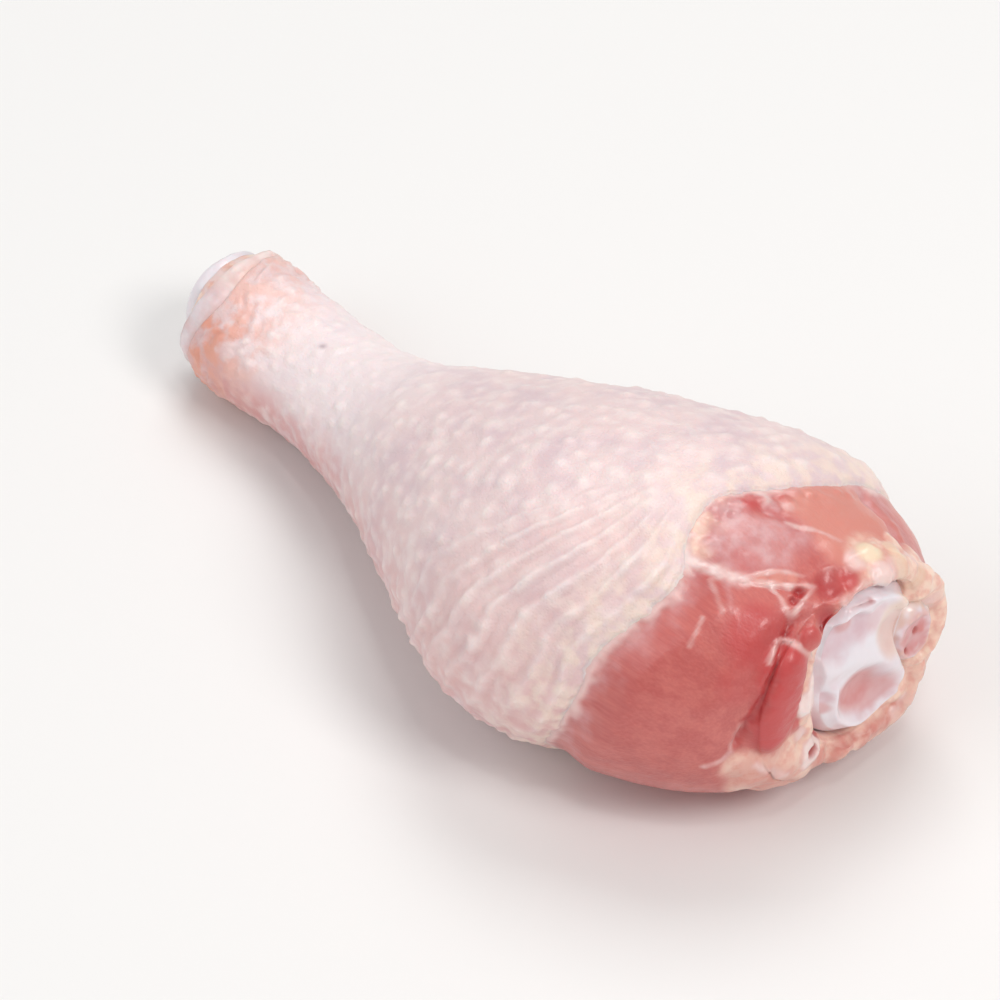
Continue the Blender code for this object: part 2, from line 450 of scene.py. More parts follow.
class ShaderGraph:
    """A material under construction."""

    def __init__(self, name: str) -> None:
        """Starts a material with a Principled shader.

        Args:
            name: the material's name.
        """
        self.material = bpy.data.materials.new(name)
        self.material.use_nodes = True
        self.tree = self.material.node_tree
        self.shader = self.tree.nodes["Principled BSDF"]
        self.place = self.node("ShaderNodeTexCoord", {}, {}, "Object")

    def node(self, kind: str, settings: dict, values: dict, output: "str | int" = 0) -> Signal:
        """Adds any node.

        Args:
            kind: the node's type.
            settings: its properties, which are set first.
            values: a value or a link for each socket, by name or number.
            output: which output to read.

        Returns:
            The output.
        """
        node = self.tree.nodes.new(kind)
        for name, value in settings.items():
            setattr(node, name, value)
        for socket, value in values.items():
            self.feed(node.inputs[socket], value)
        return Signal(self, node.outputs[output])

    def feed(self, socket: bpy.types.NodeSocket, value: "Signal | float | tuple") -> None:
        """Links a signal to a socket, or sets the socket's own value.

        Args:
            socket: the input.
            value: the signal, number or colour.
        """
        if isinstance(value, Signal):
            self.tree.links.new(value.socket, socket)
        elif isinstance(value, tuple) and len(socket.default_value) == len(value) + 1:
            socket.default_value = (*value, 1.0)
        else:
            socket.default_value = value

    def mask(self, name: str) -> Signal:
        """Reads a mask that the mesh holds."""
        return self.node("ShaderNodeAttribute", {"attribute_name": name}, {}, "Fac")

    def mix(self, first: "Signal | Colour", second: "Signal | Colour", share: "Signal | float") -> Signal:
        """Mixes two colours.

        Args:
            first: the colour where share is 0.
            second: the colour where share is 1.
            share: how much of the second to take.

        Returns:
            The mixed colour.
        """
        # The Mix node's sockets for colours are inputs 6 and 7 and output 2.
        values = {0: share, 6: first, 7: second}
        return self.node("ShaderNodeMix", {"data_type": "RGBA", "clamp_factor": True}, values, 2)

    def grain(self, size: "float | Place", detail: float, shift: float = 0.0) -> Signal:
        """Adds soft noise.

        Args:
            size: the width of its lumps in millimetres, or their widths along x, y and z.
            detail: how many finer layers it has.
            shift: moves the noise, so that two of one size differ.

        Returns:
            Noise from 0 to 1, mostly between 0.3 and 0.7.
        """
        widths = size if isinstance(size, tuple) else (size, size, size)
        scale = tuple(1 / (width * MM) for width in widths)
        values = {0: self.place, 1: scale, 2: (shift, shift, shift)}
        spot = self.node("ShaderNodeVectorMath", {"operation": "MULTIPLY_ADD"}, values)
        return self.node("ShaderNodeTexNoise", {}, {"Vector": spot, "Scale": 1.0, "Detail": detail}, "Fac")

    def cells(self, size: float) -> Signal:
        """Adds cells like those of fine skin.

        Args:
            size: the width of a cell, in millimetres.

        Returns:
            The distance to the middle of the nearest cell, in cells.
        """
        values = {"Vector": self.place, "Scale": 1 / (size * MM)}
        return self.node("ShaderNodeTexVoronoi", {"feature": "F1"}, values, "Distance")

    def layers(self, colour: Signal, *layers: "tuple[Signal | Colour, Signal]") -> Signal:
        """Lays colours over a colour, one after another.

        Args:
            colour: the colour underneath.
            layers: each colour and how much of it shows, from the lowest up.

        Returns:
            The colour that they give together.
        """
        for tint, share in layers:
            colour = self.mix(colour, tint, share)
        return colour

    def bump(self, height: Signal, distance: float, strength: float) -> Signal:
        """Turns a height into a normal.

        Args:
            height: the relief, from 0 to 1.
            distance: how high 1 is, in millimetres.
            strength: how much of it shows.

        Returns:
            The normal.
        """
        values = {"Height": height, "Distance": distance * MM, "Strength": strength}
        return self.node("ShaderNodeBump", {}, values)

    def dress(self, **sockets: "Signal | float | tuple") -> bpy.types.Material:
        """Feeds the Principled shader.

        Args:
            sockets: a value or a link for each socket, with _ for a space.

        Returns:
            The finished material.
        """
        for name, value in sockets.items():
            self.feed(self.shader.inputs[name.replace("_", " ")], value)
        return self.material


@dataclass(frozen=True)
class SkinFinish:
    """Moist, pale pink skin, lilac in its hollows and creamy on its bumps, with painted shade on its lower
    sides and in its folds' grooves, and painted light on its folds' crests and on the shank's upper side.
    """

    lilac: Colour = (0.74, 0.57, 0.6)
    rose: Colour = (0.83, 0.65, 0.65)
    cream: Colour = (0.95, 0.84, 0.81)
    butter: Colour = (0.9, 0.72, 0.6)
    peach: Colour = (0.84, 0.37, 0.27)
    # Painted shade: the darker pink of the lower sides.
    flush: Colour = (0.72, 0.34, 0.33)
    # Painted shade for the folds' grooves and the hock's wrinkles.
    painted_crease_shade: Colour = (0.74, 0.44, 0.42)
    root: Colour = (0.4, 0.28, 0.32)
    # Painted light for the shank's upper side.
    painted_top_light: Colour = (0.98, 0.88, 0.9)

    def make(self) -> bpy.types.Material:
        """Builds the material."""
        graph = ShaderGraph("drumstick_skin")
        broad, spots, fine = graph.grain(8, 3), graph.grain(2.6, 3, 4.7), graph.grain(0.8, 3, 9.1)
        colour = graph.layers(
            graph.mix(self.lilac, self.rose, broad.step(0.34, 0.6)),
            (self.cream, spots.step(0.46, 0.7) * 0.35),
            # Painted shade: the lower sides and the shank's underside darker and pinker.
            (self.flush, graph.mask("flush") * (0.36 + (1 - spots.step(0.36, 0.66)) * 0.6)),
            # Painted light: the folds' crests lighter.
            (self.cream, graph.mask("ridge") * 0.46),
            # Painted light: the shank's upper side lighter.
            (self.painted_top_light, graph.mask("pale") * 0.62),
            # Painted shade: the folds' grooves and the hock's wrinkle troughs darker.
            (self.painted_crease_shade, graph.mask("groove") * 0.4),
            (self.butter, graph.mask("rim") * spots.step(0.34, 0.62) * 0.6),
            (self.cream, graph.mask("follicle") * (0.3 + fine * 0.6)),
            (self.peach, graph.mask("hock") * (0.16 + spots.step(0.36, 0.6) * 0.8)),
            (self.root, graph.mask("hair") * 0.7),
        )
        pores = graph.cells(0.42).step(0.1, 0.6)
        folds = graph.grain((2.6, 0.5, 0.5), 2, 2.2)
        height = pores * 0.35 + fine * 0.4 + folds * 0.25
        return graph.dress(
            Base_Color=colour,
            Roughness=0.4 + fine * 0.2,
            Normal=graph.bump(height, 0.14, 0.6),
            Subsurface_Weight=0.25,
            Subsurface_Radius=(1.0, 0.45, 0.35),
            Subsurface_Scale=0.7 * MM,
            Coat_Weight=0.18,
            Coat_Roughness=0.25,
        )


@dataclass(frozen=True)
class FleshFinish:
    """Wet muscle with films, fat and bloody hollows, each where its mask says."""

    muscle: Colour = (0.53, 0.11, 0.1)
    muscle_light: Colour = (0.65, 0.18, 0.155)
    red_muscle: Colour = (0.56, 0.06, 0.062)
    pale_muscle: Colour = (0.7, 0.265, 0.215)
    film: Colour = (0.7, 0.41, 0.42)
    fat: Colour = (0.93, 0.68, 0.56)
    yellow_fat: Colour = (0.93, 0.76, 0.56)
    white_fat: Colour = (0.93, 0.76, 0.73)
    blood: Colour = (0.46, 0.03, 0.036)
    fat_blush: Colour = (0.76, 0.3, 0.24)
    gristle: Colour = (0.86, 0.79, 0.82)

    def make(self) -> bpy.types.Material:
        """Builds the material."""
        graph = ShaderGraph("drumstick_flesh")
        fibres = graph.grain((5.5, 0.34, 0.34), 3)
        bands = graph.grain((16, 2.2, 2.2), 2, 3.3)
        spots, fine = graph.grain(1.7, 3, 6.1), graph.grain(0.5, 2, 8.8)
        grained = fibres.step(0.3, 0.75) * 0.4 + bands.step(0.4, 0.65) * 0.45
        colour = graph.layers(
            graph.mix(self.muscle, self.muscle_light, grained),
            (self.red_muscle, graph.mask(RED_MUSCLE.value) * 0.9),
            (self.pale_muscle, graph.mask(PALE_MUSCLE.value)),
            (self.film, graph.mask(FILM.value) * (0.5 + spots.step(0.3, 0.7) * 0.45)),
            (graph.mix(self.fat, self.fat_blush, spots.step(0.4, 0.68) * 0.55), graph.mask(FAT.value)),
            (self.yellow_fat, graph.mask(YELLOW_FAT.value)),
            # White fat; the streak over the bottom lobes is a painted highlight.
            (self.white_fat, graph.mask(WHITE_FAT.value)),
            (self.gristle, graph.mask(GRISTLE.value) * 0.9),
            (self.blood, graph.mask(BLOOD.value) * 0.9),
        )
        height = fibres * 0.6 + fine * 0.4
        return graph.dress(
            Base_Color=colour,
            Roughness=0.3 + spots * 0.2,
            Normal=graph.bump(height, 0.16, 0.5),
            Subsurface_Weight=0.3,
            Subsurface_Radius=(1.0, 0.3, 0.22),
            Subsurface_Scale=1.0 * MM,
            Coat_Weight=0.35,
            Coat_Roughness=0.2,
        )


@dataclass(frozen=True)
class GristleFinish:
    """Glossy bluish white gristle with pink showing through."""

    name: str
    white: Colour = (0.87, 0.81, 0.86)
    lilac: Colour = (0.74, 0.52, 0.57)
    pink: Colour = (0.66, 0.23, 0.22)
    red: Colour = (0.5, 0.1, 0.09)
    cream: Colour = (0.87, 0.66, 0.55)

    def make(self) -> bpy.types.Material:
        """Builds the material."""
        graph = ShaderGraph(self.name)
        cloud, fine = graph.grain(2.6, 2), graph.grain(0.7, 2, 5.5)
        clouded = graph.mask(LILAC_GRISTLE.value) * (0.5 + cloud * 0.8) + cloud.step(0.42, 0.7) * 0.22
        colour = graph.layers(
            graph.mix(self.white, self.lilac, clouded),
            (self.pink, graph.mask(PINK_GRISTLE.value) * (0.85 + cloud * 0.5)),
            # Cream: the kneecap's ring of fat, and on the bone the tan slope beside the kneecap, which is
            # painted shade.
            (self.cream, graph.mask(FAT.value)),
            # Dark red: vessels and slits, and painted shade on the kneecap's left side.
            (self.red, graph.mask(BLOOD.value)),
        )
        return graph.dress(
            Base_Color=colour,
            Roughness=0.24 + fine * 0.14,
            Normal=graph.bump(cloud * 0.6 + fine * 0.4, 0.1, 0.35),
            Subsurface_Weight=0.35,
            Subsurface_Radius=(1.0, 0.6, 0.6),
            Subsurface_Scale=1.0 * MM,
            Coat_Weight=0.5,
            Coat_Roughness=0.14,
        )


@dataclass(frozen=True)
class TableFinish:
    """A plain pale matt surface."""

    colour: Colour = (0.86, 0.855, 0.85)

    def make(self) -> bpy.types.Material:
        """Builds the material."""
        return ShaderGraph("pale_table").dress(Base_Color=self.colour, Roughness=0.8)


# --------------------------------------------------------------------------------------------------
# Meshes


@dataclass
class Grid:
    """Rings of points, with masks, that become one mesh."""

    points: np.ndarray
    masks: dict[str, np.ndarray]
    closed_loop: bool = False

    def faces(self) -> np.ndarray:
        """Lists the quads between the rings.

        Returns:
            The numbers of each quad's four corners.
        """
        rings, around = self.points.shape[:2]
        last = rings if self.closed_loop else rings - 1
        i, j = np.meshgrid(np.arange(last), np.arange(around), indexing="ij")
        near, far = i * around, (i + 1) % rings * around
        right = (j + 1) % around
        return np.stack([near + j, far + j, far + right, near + right], axis=-1).reshape(-1, 4)

    def mesh(self, name: str, origin: np.ndarray) -> bpy.types.Mesh:
        """Makes a smooth mesh that faces outwards.

        Args:
            name: the mesh's name.
            origin: where the hock end is in the frame, in metres.

        Returns:
            The mesh.
        """
        rings, around = self.points.shape[:2]
        corners = self.points.reshape(-1, 3)
        quads = self.faces()
        p, q, r = (corners[quads[:, k]] for k in (0, 1, 2))
        s = corners[quads[:, 3]]
        volume = (p * np.cross(q, r)).sum() + (p * np.cross(r, s)).sum()
        faces = (quads if volume > 0 else quads[:, ::-1]).tolist()
        if not self.closed_loop:
            first, last = list(range(around)), list(range((rings - 1) * around, rings * around))
            faces += [first[::-1], last] if volume < 0 else [first, last[::-1]]
        mesh = bpy.data.meshes.new(name)
        mesh.from_pydata((corners * MM + origin).tolist(), [], faces)
        for mask, values in self.masks.items():
            layer = mesh.attributes.new(mask, "FLOAT", "POINT")
            layer.data.foreach_set("value", np.clip(values, 0, 1).astype(np.float32).ravel())
        mesh.shade_smooth()
        return mesh


def add_piece(name: str, mesh: bpy.types.Mesh, material: bpy.types.Material, node: str) -> None:
    """Adds a piece that rides with the drumstick.

    Args:
        name: the piece's name.
        mesh: its mesh, in place.
        material: its material.
        node: the solid that it stands for.
    """
    piece = bpy.data.objects.new(name, mesh)
    mesh.materials.append(material)
    bpy.context.scene.collection.objects.link(piece)
    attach(piece, "root")
    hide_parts(node)
    LOG.info("%s: %d faces", name, len(mesh.polygons))


# --------------------------------------------------------------------------------------------------
# The pieces


@dataclass(frozen=True)
class SkinSpots:
    """Places on the skin's smooth outside, in rings from its edge at the hock to its edge at the knee."""

    hock: np.ndarray
    knee: np.ndarray
    along: np.ndarray
    angle: np.ndarray
    points: np.ndarray

    @property
    def from_hock(self) -> np.ndarray:
        """Distances from the edge at the hock."""
        return self.along - self.hock

    @property
    def from_knee(self) -> np.ndarray:
        """Distances from the edge at the knee."""
        return self.knee - self.along

    @property
    def degrees(self) -> np.ndarray:
        """The angles in degrees."""
        return np.degrees(self.angle)


@dataclass
class SkinSleeve:
    """The skin, with its follicles, its folds and its ragged, thinned edges."""

    form: LegForm
    around: int = 330
    rings: int = 250
    inner_rings: int = 30
    row_spacing: float = 3.0
    bump_spacing: float = 3.3
    bump_rise: float = 0.56
    bump_radius: float = 1.0
    fold_spacing: float = 4.4
    fold_start: float = 2.4
    fold_rise: float = 0.95
    fold_reach: Pair = (20.0, 37.0)
    fold_top: Pair = (96.0, 122.0)
    fold_bottom: Pair = (168.0, 222.0)
    fold_spread: Pairs = (
        (90, 0.25), (100, 0.36), (112, 0.56), (123, 0.82), (135, 0.93), (150, 1.0), (180, 1.08), (230, 1.1),
    )
    crease_spacing: float = 2.2
    crease_rise: float = 0.24
    hair: Pair = (27.0, 99.5)
    hair_radius: float = 0.6
    sag_rise: float = 0.5
    knee_thinning: float = 0.6
    hock_thinning: float = 0.55
    edge_rounding: float = 1.0
    lip_bulge: float = 0.14
    row_reach: Pair = (4.0, 112.0)
    row_samples: int = 60
    jitter_around: float = 0.16
    jitter_along: float = 0.6
    shank_scale: float = 0.66
    shank_reach: Pair = (18.0, 45.0)
    seed: int = 7

    def angles(self) -> np.ndarray:
        """Equal steps once round the leg."""
        return np.arange(self.around) * TURN / self.around

    def edges(self) -> tuple[np.ndarray, np.ndarray]:
        """Finds the skin's two ragged edges.

        Returns:
            Their distances from the hock at each angle, at the hock and at the knee.
        """
        angle = self.angles()
        hock = self.form.edge(self.form.hock_edge, angle)
        knee = self.form.edge(self.form.knee_edge, angle)
        spots = self.form.surface(knee, angle, 0.0)
        knee = knee + 0.8 * rough(spots, 4.0, 1.0) + 0.5 * rough(spots, 1.4, 2.0)
        hock = hock + 0.25 * rough(self.form.surface(hock, angle, 0.0), 3.0, 3.0)
        return hock, knee

    def lay(self) -> SkinSpots:
        """Lays the outside's rings, thinned towards both edges.

        Returns:
            The places on the smooth outside.
        """
        hock, knee = self.edges()
        along = hock + (knee - hock) * np.linspace(0, 1, self.rings)[:, None]
        angle = self.angles() + 0 * along
        thinned = self.knee_thinning * (1 - smooth_step(0, 3.4, knee - along))
        thinned = thinned + self.hock_thinning * (1 - smooth_step(0, 2.2, along - hock))
        thinned = thinned + self.edge_rounding * (1 - smooth_step(0, 0.7, knee - along)) ** 2
        return SkinSpots(hock, knee, along, angle, self.form.surface(along, angle, thinned))

    def follicles(self) -> tuple[np.ndarray, np.ndarray, np.ndarray]:
        """Sets the follicles out in staggered rows.

        Returns:
            Their places, heights and radii.
        """
        draw = np.random.default_rng(self.seed)
        places, rises, radii = [], [], []
        around = np.arange(self.row_samples) * TURN / self.row_samples
        along, last = self.row_reach
        row = 0
        while along < last:
            ring = self.form.surface(np.full(self.row_samples, along), around, 0.0)
            length = np.linalg.norm(np.roll(ring, -1, axis=0) - ring, axis=1).sum()
            small = self.shank_scale + (1 - self.shank_scale) * float(smooth_step(*self.shank_reach, along))
            count = int(length / (self.bump_spacing * small))
            stagger = 0.5 * (row % 2)
            angle = (np.arange(count) + stagger + draw.normal(0, self.jitter_around, count)) * TURN / count
            spots = along + draw.normal(0, self.jitter_along, count)
            places.append(self.form.surface(spots, angle, 0.0))
            rises.append(small * self.bump_rise * draw.uniform(0.2, 1.0, count))
            radii.append(small * self.bump_radius * draw.uniform(0.8, 1.2, count))
            along += self.row_spacing * small
            row += 1
        return np.concatenate(places), np.concatenate(rises), np.concatenate(radii)

    def bumps(self, points: np.ndarray) -> tuple[np.ndarray, np.ndarray]:
        """Reads the follicles' relief.

        Args:
            points: places on the skin.

        Returns:
            The height at each place, and how near it is to a follicle's top, from 0 to 1.
        """
        places, rises, radii = self.follicles()
        tree = kdtree.KDTree(len(places))
        for i, place in enumerate(places):
            tree.insert(place, i)
        tree.balance()
        flat = points.reshape(-1, 3)
        height, near = np.zeros(len(flat)), np.zeros(len(flat))
        for k, point in enumerate(flat):
            for _, i, distance in tree.find_n(point, 2):
                shape = math.exp(-((distance / radii[i]) ** 2))
                height[k] += rises[i] * shape
                near[k] = max(near[k], shape * rises[i] / self.bump_rise)
        return height.reshape(points.shape[:-1]), near.reshape(points.shape[:-1])

    def folds(self, skin: SkinSpots) -> tuple[np.ndarray, np.ndarray]:
        """Reads the folds that run beside the cut edge and draw together towards its upper corner.

        Args:
            skin: places on the skin.

        Returns:
            The folds' height, and how much folded each place is, both from 0 to 1.
        """
        back = self.form.edge(self.form.knee_edge, skin.angle) - skin.along
        back = back / np.interp(skin.degrees, *np.array(self.fold_spread).T)
        back = back + 1.2 * rough(skin.points, 12.0, 4.0) + 0.4 * rough(skin.points, 4.0, 5.0)
        turn = TURN * (back - self.fold_start) / self.fold_spacing
        finer = np.cos(2 * turn + 2.0 * rough(skin.points, 8.0, 23.0))
        wave = np.clip(0.5 + 0.33 * np.cos(turn) + 0.17 * finer, 0, 1)
        folded = smooth_step(0.3, 2.0, back) * (1 - smooth_step(*self.fold_reach, back))
        folded = folded * smooth_step(*self.fold_top, skin.degrees)
        folded = folded * (1 - smooth_step(*self.fold_bottom, skin.degrees))
        return wave * (0.7 + 0.3 * smooth_step(-0.3, 0.3, rough(skin.points, 3.0, 24.0))), folded

    def creases(self, skin: SkinSpots) -> tuple[np.ndarray, np.ndarray]:
        """Reads the wrinkles that run round the cut end of the hock.

        Args:
            skin: places on the skin.

        Returns:
            The wrinkles' height, from -1 to 1, and how wrinkled each place is, from 0 to 1.
        """
        shifted = skin.from_hock + 2.4 * rough(skin.points, 6.0, 21.0)
        broken = smooth_step(-0.35, 0.25, rough(skin.points, 3.6, 22.0))
        wrinkled = (1 - smooth_step(5, 13, skin.from_hock)) * smooth_step(0.2, 1.4, skin.from_hock)
        return np.cos(TURN * shifted / self.crease_spacing) * broken, wrinkled

    def hair_root(self, skin: SkinSpots) -> np.ndarray:
        """Reads how near the places are to the root of the one hair.

        Args:
            skin: places on the skin.

        Returns:
            1 at the root, falling to 0 round it.
        """
        along, degrees = self.hair
        root = self.form.surface(np.array(along), np.array(math.radians(degrees)), 0.0)
        return np.exp(-((np.linalg.norm(skin.points - root, axis=-1) / self.hair_radius) ** 2))

    def patches(self, skin: SkinSpots) -> dict[str, np.ndarray]:
        """Masks the stretches of skin that have a colour of their own, and those where light and shade are
        painted in.

        Args:
            skin: places on the skin.

        Returns:
            The masks by name: butter at the knee's edge, pale skin on the shank's upper side that is painted
                light, darker pink skin on the lower sides that is painted shade, and peach at the hock.
        """
        shade = arc(skin.degrees, 168, 372, 70)
        ankle = arc(skin.degrees, 155, 300, 50) * smooth_step(4, 14, skin.along)
        ankle = ankle * (1 - smooth_step(36, 58, skin.along))
        shank = smooth_step(9, 18, skin.along) * (1 - smooth_step(34, 62, skin.along))
        hock_side = 0.5 + 0.5 * arc(skin.degrees, 125, 330, 50)
        ragged_hock = skin.from_hock + 3 * rough(skin.points, 7.0, 10.0)
        return {
            "rim": 1 - smooth_step(0.5, 13, skin.from_knee + 2.5 * rough(skin.points, 6.0, 9.0)),
            # Painted light: the shank's front and top lighter.
            "pale": arc(skin.degrees, 10, 165, 50) * shank,
            # Painted shade: darker, pinker skin on the lower sides and under the shank.
            "flush": np.maximum(shade * 0.75, ankle),
            "hock": hock_side * (1 - smooth_step(1.5, 19, ragged_hock)),
        }

    def add_lining(self, outer: np.ndarray, skin: SkinSpots) -> np.ndarray:
        """Adds the inside of the sleeve and rounds both of its edges.

        Args:
            outer: the rings of the outside.
            skin: the places that they were laid from.

        Returns:
            All rings of the sleeve, the outside first.
        """
        along = skin.hock + (skin.knee - skin.hock) * np.linspace(1, 0, self.inner_rings)[:, None]
        inner = self.form.surface(along, self.angles() + 0 * along, self.form.skin_thickness)
        lip = (outer[-1:] + inner[:1]) / 2 + (self.lip_bulge, 0, 0)
        heel = (outer[:1] + inner[-1:]) / 2 - (self.lip_bulge, 0, 0)
        return np.concatenate([outer, lip, inner, heel])

    def build(self, origin: np.ndarray) -> None:
        """Builds the sleeve.

        Args:
            origin: where the hock end is in the frame, in metres.
        """
        skin = self.lay()
        bump, follicle = self.bumps(skin.points)
        wave, folded = self.folds(skin)
        crease, wrinkled = self.creases(skin)
        hair = self.hair_root(skin)
        fold = wave * folded
        calm = smooth_step(0.4, 2.6, skin.from_knee) * smooth_step(0.2, 1.6, skin.from_hock)
        pebbles = arc(skin.degrees, 160, 290, 60) * smooth_step(45, 75, skin.along)
        bump = bump * (0.72 + 0.5 * pebbles)
        sag = self.sag_rise * (rough(skin.points, 17.0, 6.0) - 0.2) + 0.16 * rough(skin.points, 5.5, 7.0)
        fine = 0.05 * rough(skin.points, 1.4, 8.0)
        creased = 0.1 * rough(skin.points, 2.2, 18.0)
        lumps = bump * (1 - 0.85 * folded * (1 - wave)) + self.fold_rise * (fold - 0.35 * folded) - 0.2
        rise = (sag + fine + creased + lumps) * (0.25 + 0.75 * calm)
        rise = rise + self.crease_rise * crease * wrinkled - 0.15 * hair
        outer = skin.points + grid_normals(skin.points) * rise[..., None]
        outer[..., 2] = np.maximum(outer[..., 2], 0.0)
        points = self.add_lining(outer, skin)

        shown = self.patches(skin) | {
            "follicle": follicle * calm * (1 - 0.6 * folded * (1 - wave)),
            # Painted light on the folds' crests.
            "ridge": fold,
            # Painted shade in the folds' grooves and the hock's wrinkle troughs.
            "groove": folded * (1 - wave) + 0.7 * wrinkled * np.clip(-crease, 0, 1),
            "hair": hair,
        }
        hidden = np.zeros((len(points) - len(outer), self.around))
        inside = {"rim": hidden + 1}
        masks = {name: np.concatenate([values, inside.get(name, hidden)]) for name, values in shown.items()}
        mesh = Grid(points, masks, closed_loop=True).mesh("skin_sleeve", origin)
        add_piece("skin_sleeve", mesh, SkinFinish().make(), "skin")


@dataclass(frozen=True)
class Lobe:
    """A lump or a hollow of one tissue."""

    ground: Ground
    at: Pair
    radius: float
    rise: float
    tissue: Tissue
    cover: float = 1.0
    crisp: bool = False
    tall: float = 1.0


@dataclass(frozen=True)
class Seam:
    """A ridge or a groove of one tissue that follows a path over the surface."""

    ground: Ground
    path: Pairs
    width: float
    rise: float
    tissue: Tissue
    cover: float = 1.0


@dataclass
class Painter:
    """Shapes and tints a surface, one feature after another."""

    form: LegForm
    points: np.ndarray
    face_points: np.ndarray
    ground_tissue: Tissue
    creased: bool = True
    rounding: int = 1
    overlap: float = 0.35
    masks: dict[Tissue, np.ndarray] = field(init=False)
    raised: np.ndarray = field(init=False)
    sunk: np.ndarray = field(init=False)

    def __post_init__(self) -> None:
        """Starts with one tissue and no relief."""
        shape = self.points.shape[:2]
        self.masks = {tissue: np.zeros(shape) for tissue in Tissue}
        self.masks[self.ground_tissue] += 1
        self.raised = np.zeros(shape)
        self.sunk = np.zeros(shape)

    def spot(self, ground: Ground, at: Pair) -> np.ndarray:
        """Finds a feature's place on the surface.

        Args:
            ground: how the place is given.
            at: distance from the hock and degrees round the leg, or distances to the front and up.

        Returns:
            The place in space.
        """
        if ground is BARREL:
            along, degrees = at
            return self.form.surface(np.array(along), np.array(math.radians(degrees)), self.form.flesh_depth)
        flat = self.face_points.reshape(-1, 3)
        return flat[np.argmin(np.hypot(flat[:, 1] - at[0], flat[:, 2] - at[1]))]

    def tint(self, tissue: Tissue, share: np.ndarray) -> None:
        """Lays one tissue over what is there.

        Args:
            tissue: what to lay.
            share: how much of it covers each point.
        """
        share = np.clip(share, 0, 1)
        for other in Tissue:
            self.masks[other] *= 1 - share
        self.masks[tissue] += share

    def lift(self, rise: float, shape: np.ndarray) -> None:
        """Raises or sinks the surface. On creased tissue, overlapping lumps meet in a crease.

        Args:
            rise: the height in the middle; below zero it is a hollow.
            shape: the share of it at each point.
        """
        if not self.creased:
            self.raised = self.raised + rise * shape
        elif rise > 0:
            higher, lower = np.maximum(self.raised, rise * shape), np.minimum(self.raised, rise * shape)
            self.raised = higher + self.overlap * lower
        else:
            self.sunk = np.minimum(self.sunk, rise * shape)

    def lobe(self, lobe: Lobe) -> None:
        """Adds a lobe.

        Args:
            lobe: where it is, its size and its tissue.
        """
        sizes = (lobe.radius, lobe.radius, lobe.radius * lobe.tall)
        distance = np.linalg.norm((self.points - self.spot(lobe.ground, lobe.at)) / sizes, axis=-1)
        inside = np.clip(1 - distance**2, 0, 1)
        soft = 1.5 if self.creased else 2.0
        self.lift(lobe.rise, inside ** (0.8 if lobe.crisp else soft))
        self.tint(lobe.tissue, lobe.cover * smooth_step(1.0, 0.72 if lobe.crisp else 0.45, distance))

    def path_distance(self, path: np.ndarray) -> np.ndarray:
        """Measures how far the points are from a path of straight runs.

        Args:
            path: the path's corners.

        Returns:
            Each point's distance.
        """
        nearest = np.full(self.points.shape[:2], 1e9)
        for start, end in zip(path, path[1:]):
            run = end - start
            t = np.clip(((self.points - start) @ run) / (run @ run + 1e-9), 0, 1)
            nearest = np.minimum(nearest, np.linalg.norm(self.points - (start + t[..., None] * run), axis=-1))
        return nearest

    def seam(self, seam: Seam) -> None:
        """Adds a seam, with its path's corners rounded off.

        Args:
            seam: its path, its size and its tissue.
        """
        path = np.array([self.spot(seam.ground, at) for at in seam.path])
        for _ in range(self.rounding):
            early, late = 0.75 * path[:-1] + 0.25 * path[1:], 0.25 * path[:-1] + 0.75 * path[1:]
            cut = np.stack([early, late], axis=1).reshape(-1, 3)
            path = np.concatenate([path[:1], cut, path[-1:]])
        ragged = 0.5 if self.creased else 0.12
        distance = self.path_distance(path) / (seam.width * (1 + ragged * rough(self.points, 2.2, 19.0)))
        self.lift(seam.rise, np.exp(-(distance**2)))
        patchy = 0.85 + 0.5 * rough(self.points, 1.3, 20.0)
        self.tint(seam.tissue, seam.cover * patchy * smooth_step(1.9, 0.3, distance))

    def add(self, features: tuple["Lobe | Seam", ...]) -> None:
        """Adds features in order.

        Args:
            features: lobes and seams.
        """
        for feature in features:
            if isinstance(feature, Lobe):
                self.lobe(feature)
            else:
                self.seam(feature)


@dataclass(frozen=True)
class FleshSpots:
    """Places on the flesh where it can show, with how far each is past the skin's two edges."""

    points: np.ndarray
    degrees: np.ndarray
    past_hock: np.ndarray
    past_knee: np.ndarray
    on_face: np.ndarray

    @property
    def along(self) -> np.ndarray:
        """Distances from the hock."""
        return self.points[..., 0]

    @property
    def bare(self) -> np.ndarray:
        """How bare the flesh is at the knee, from 0 to 1."""
        return smooth_step(0.8, 6.5, self.past_knee)

    @property
    def exposed(self) -> np.ndarray:
        """How much the flesh shows at the hock, from 0 to 1."""
        return smooth_step(0.9, -0.9, self.past_hock)


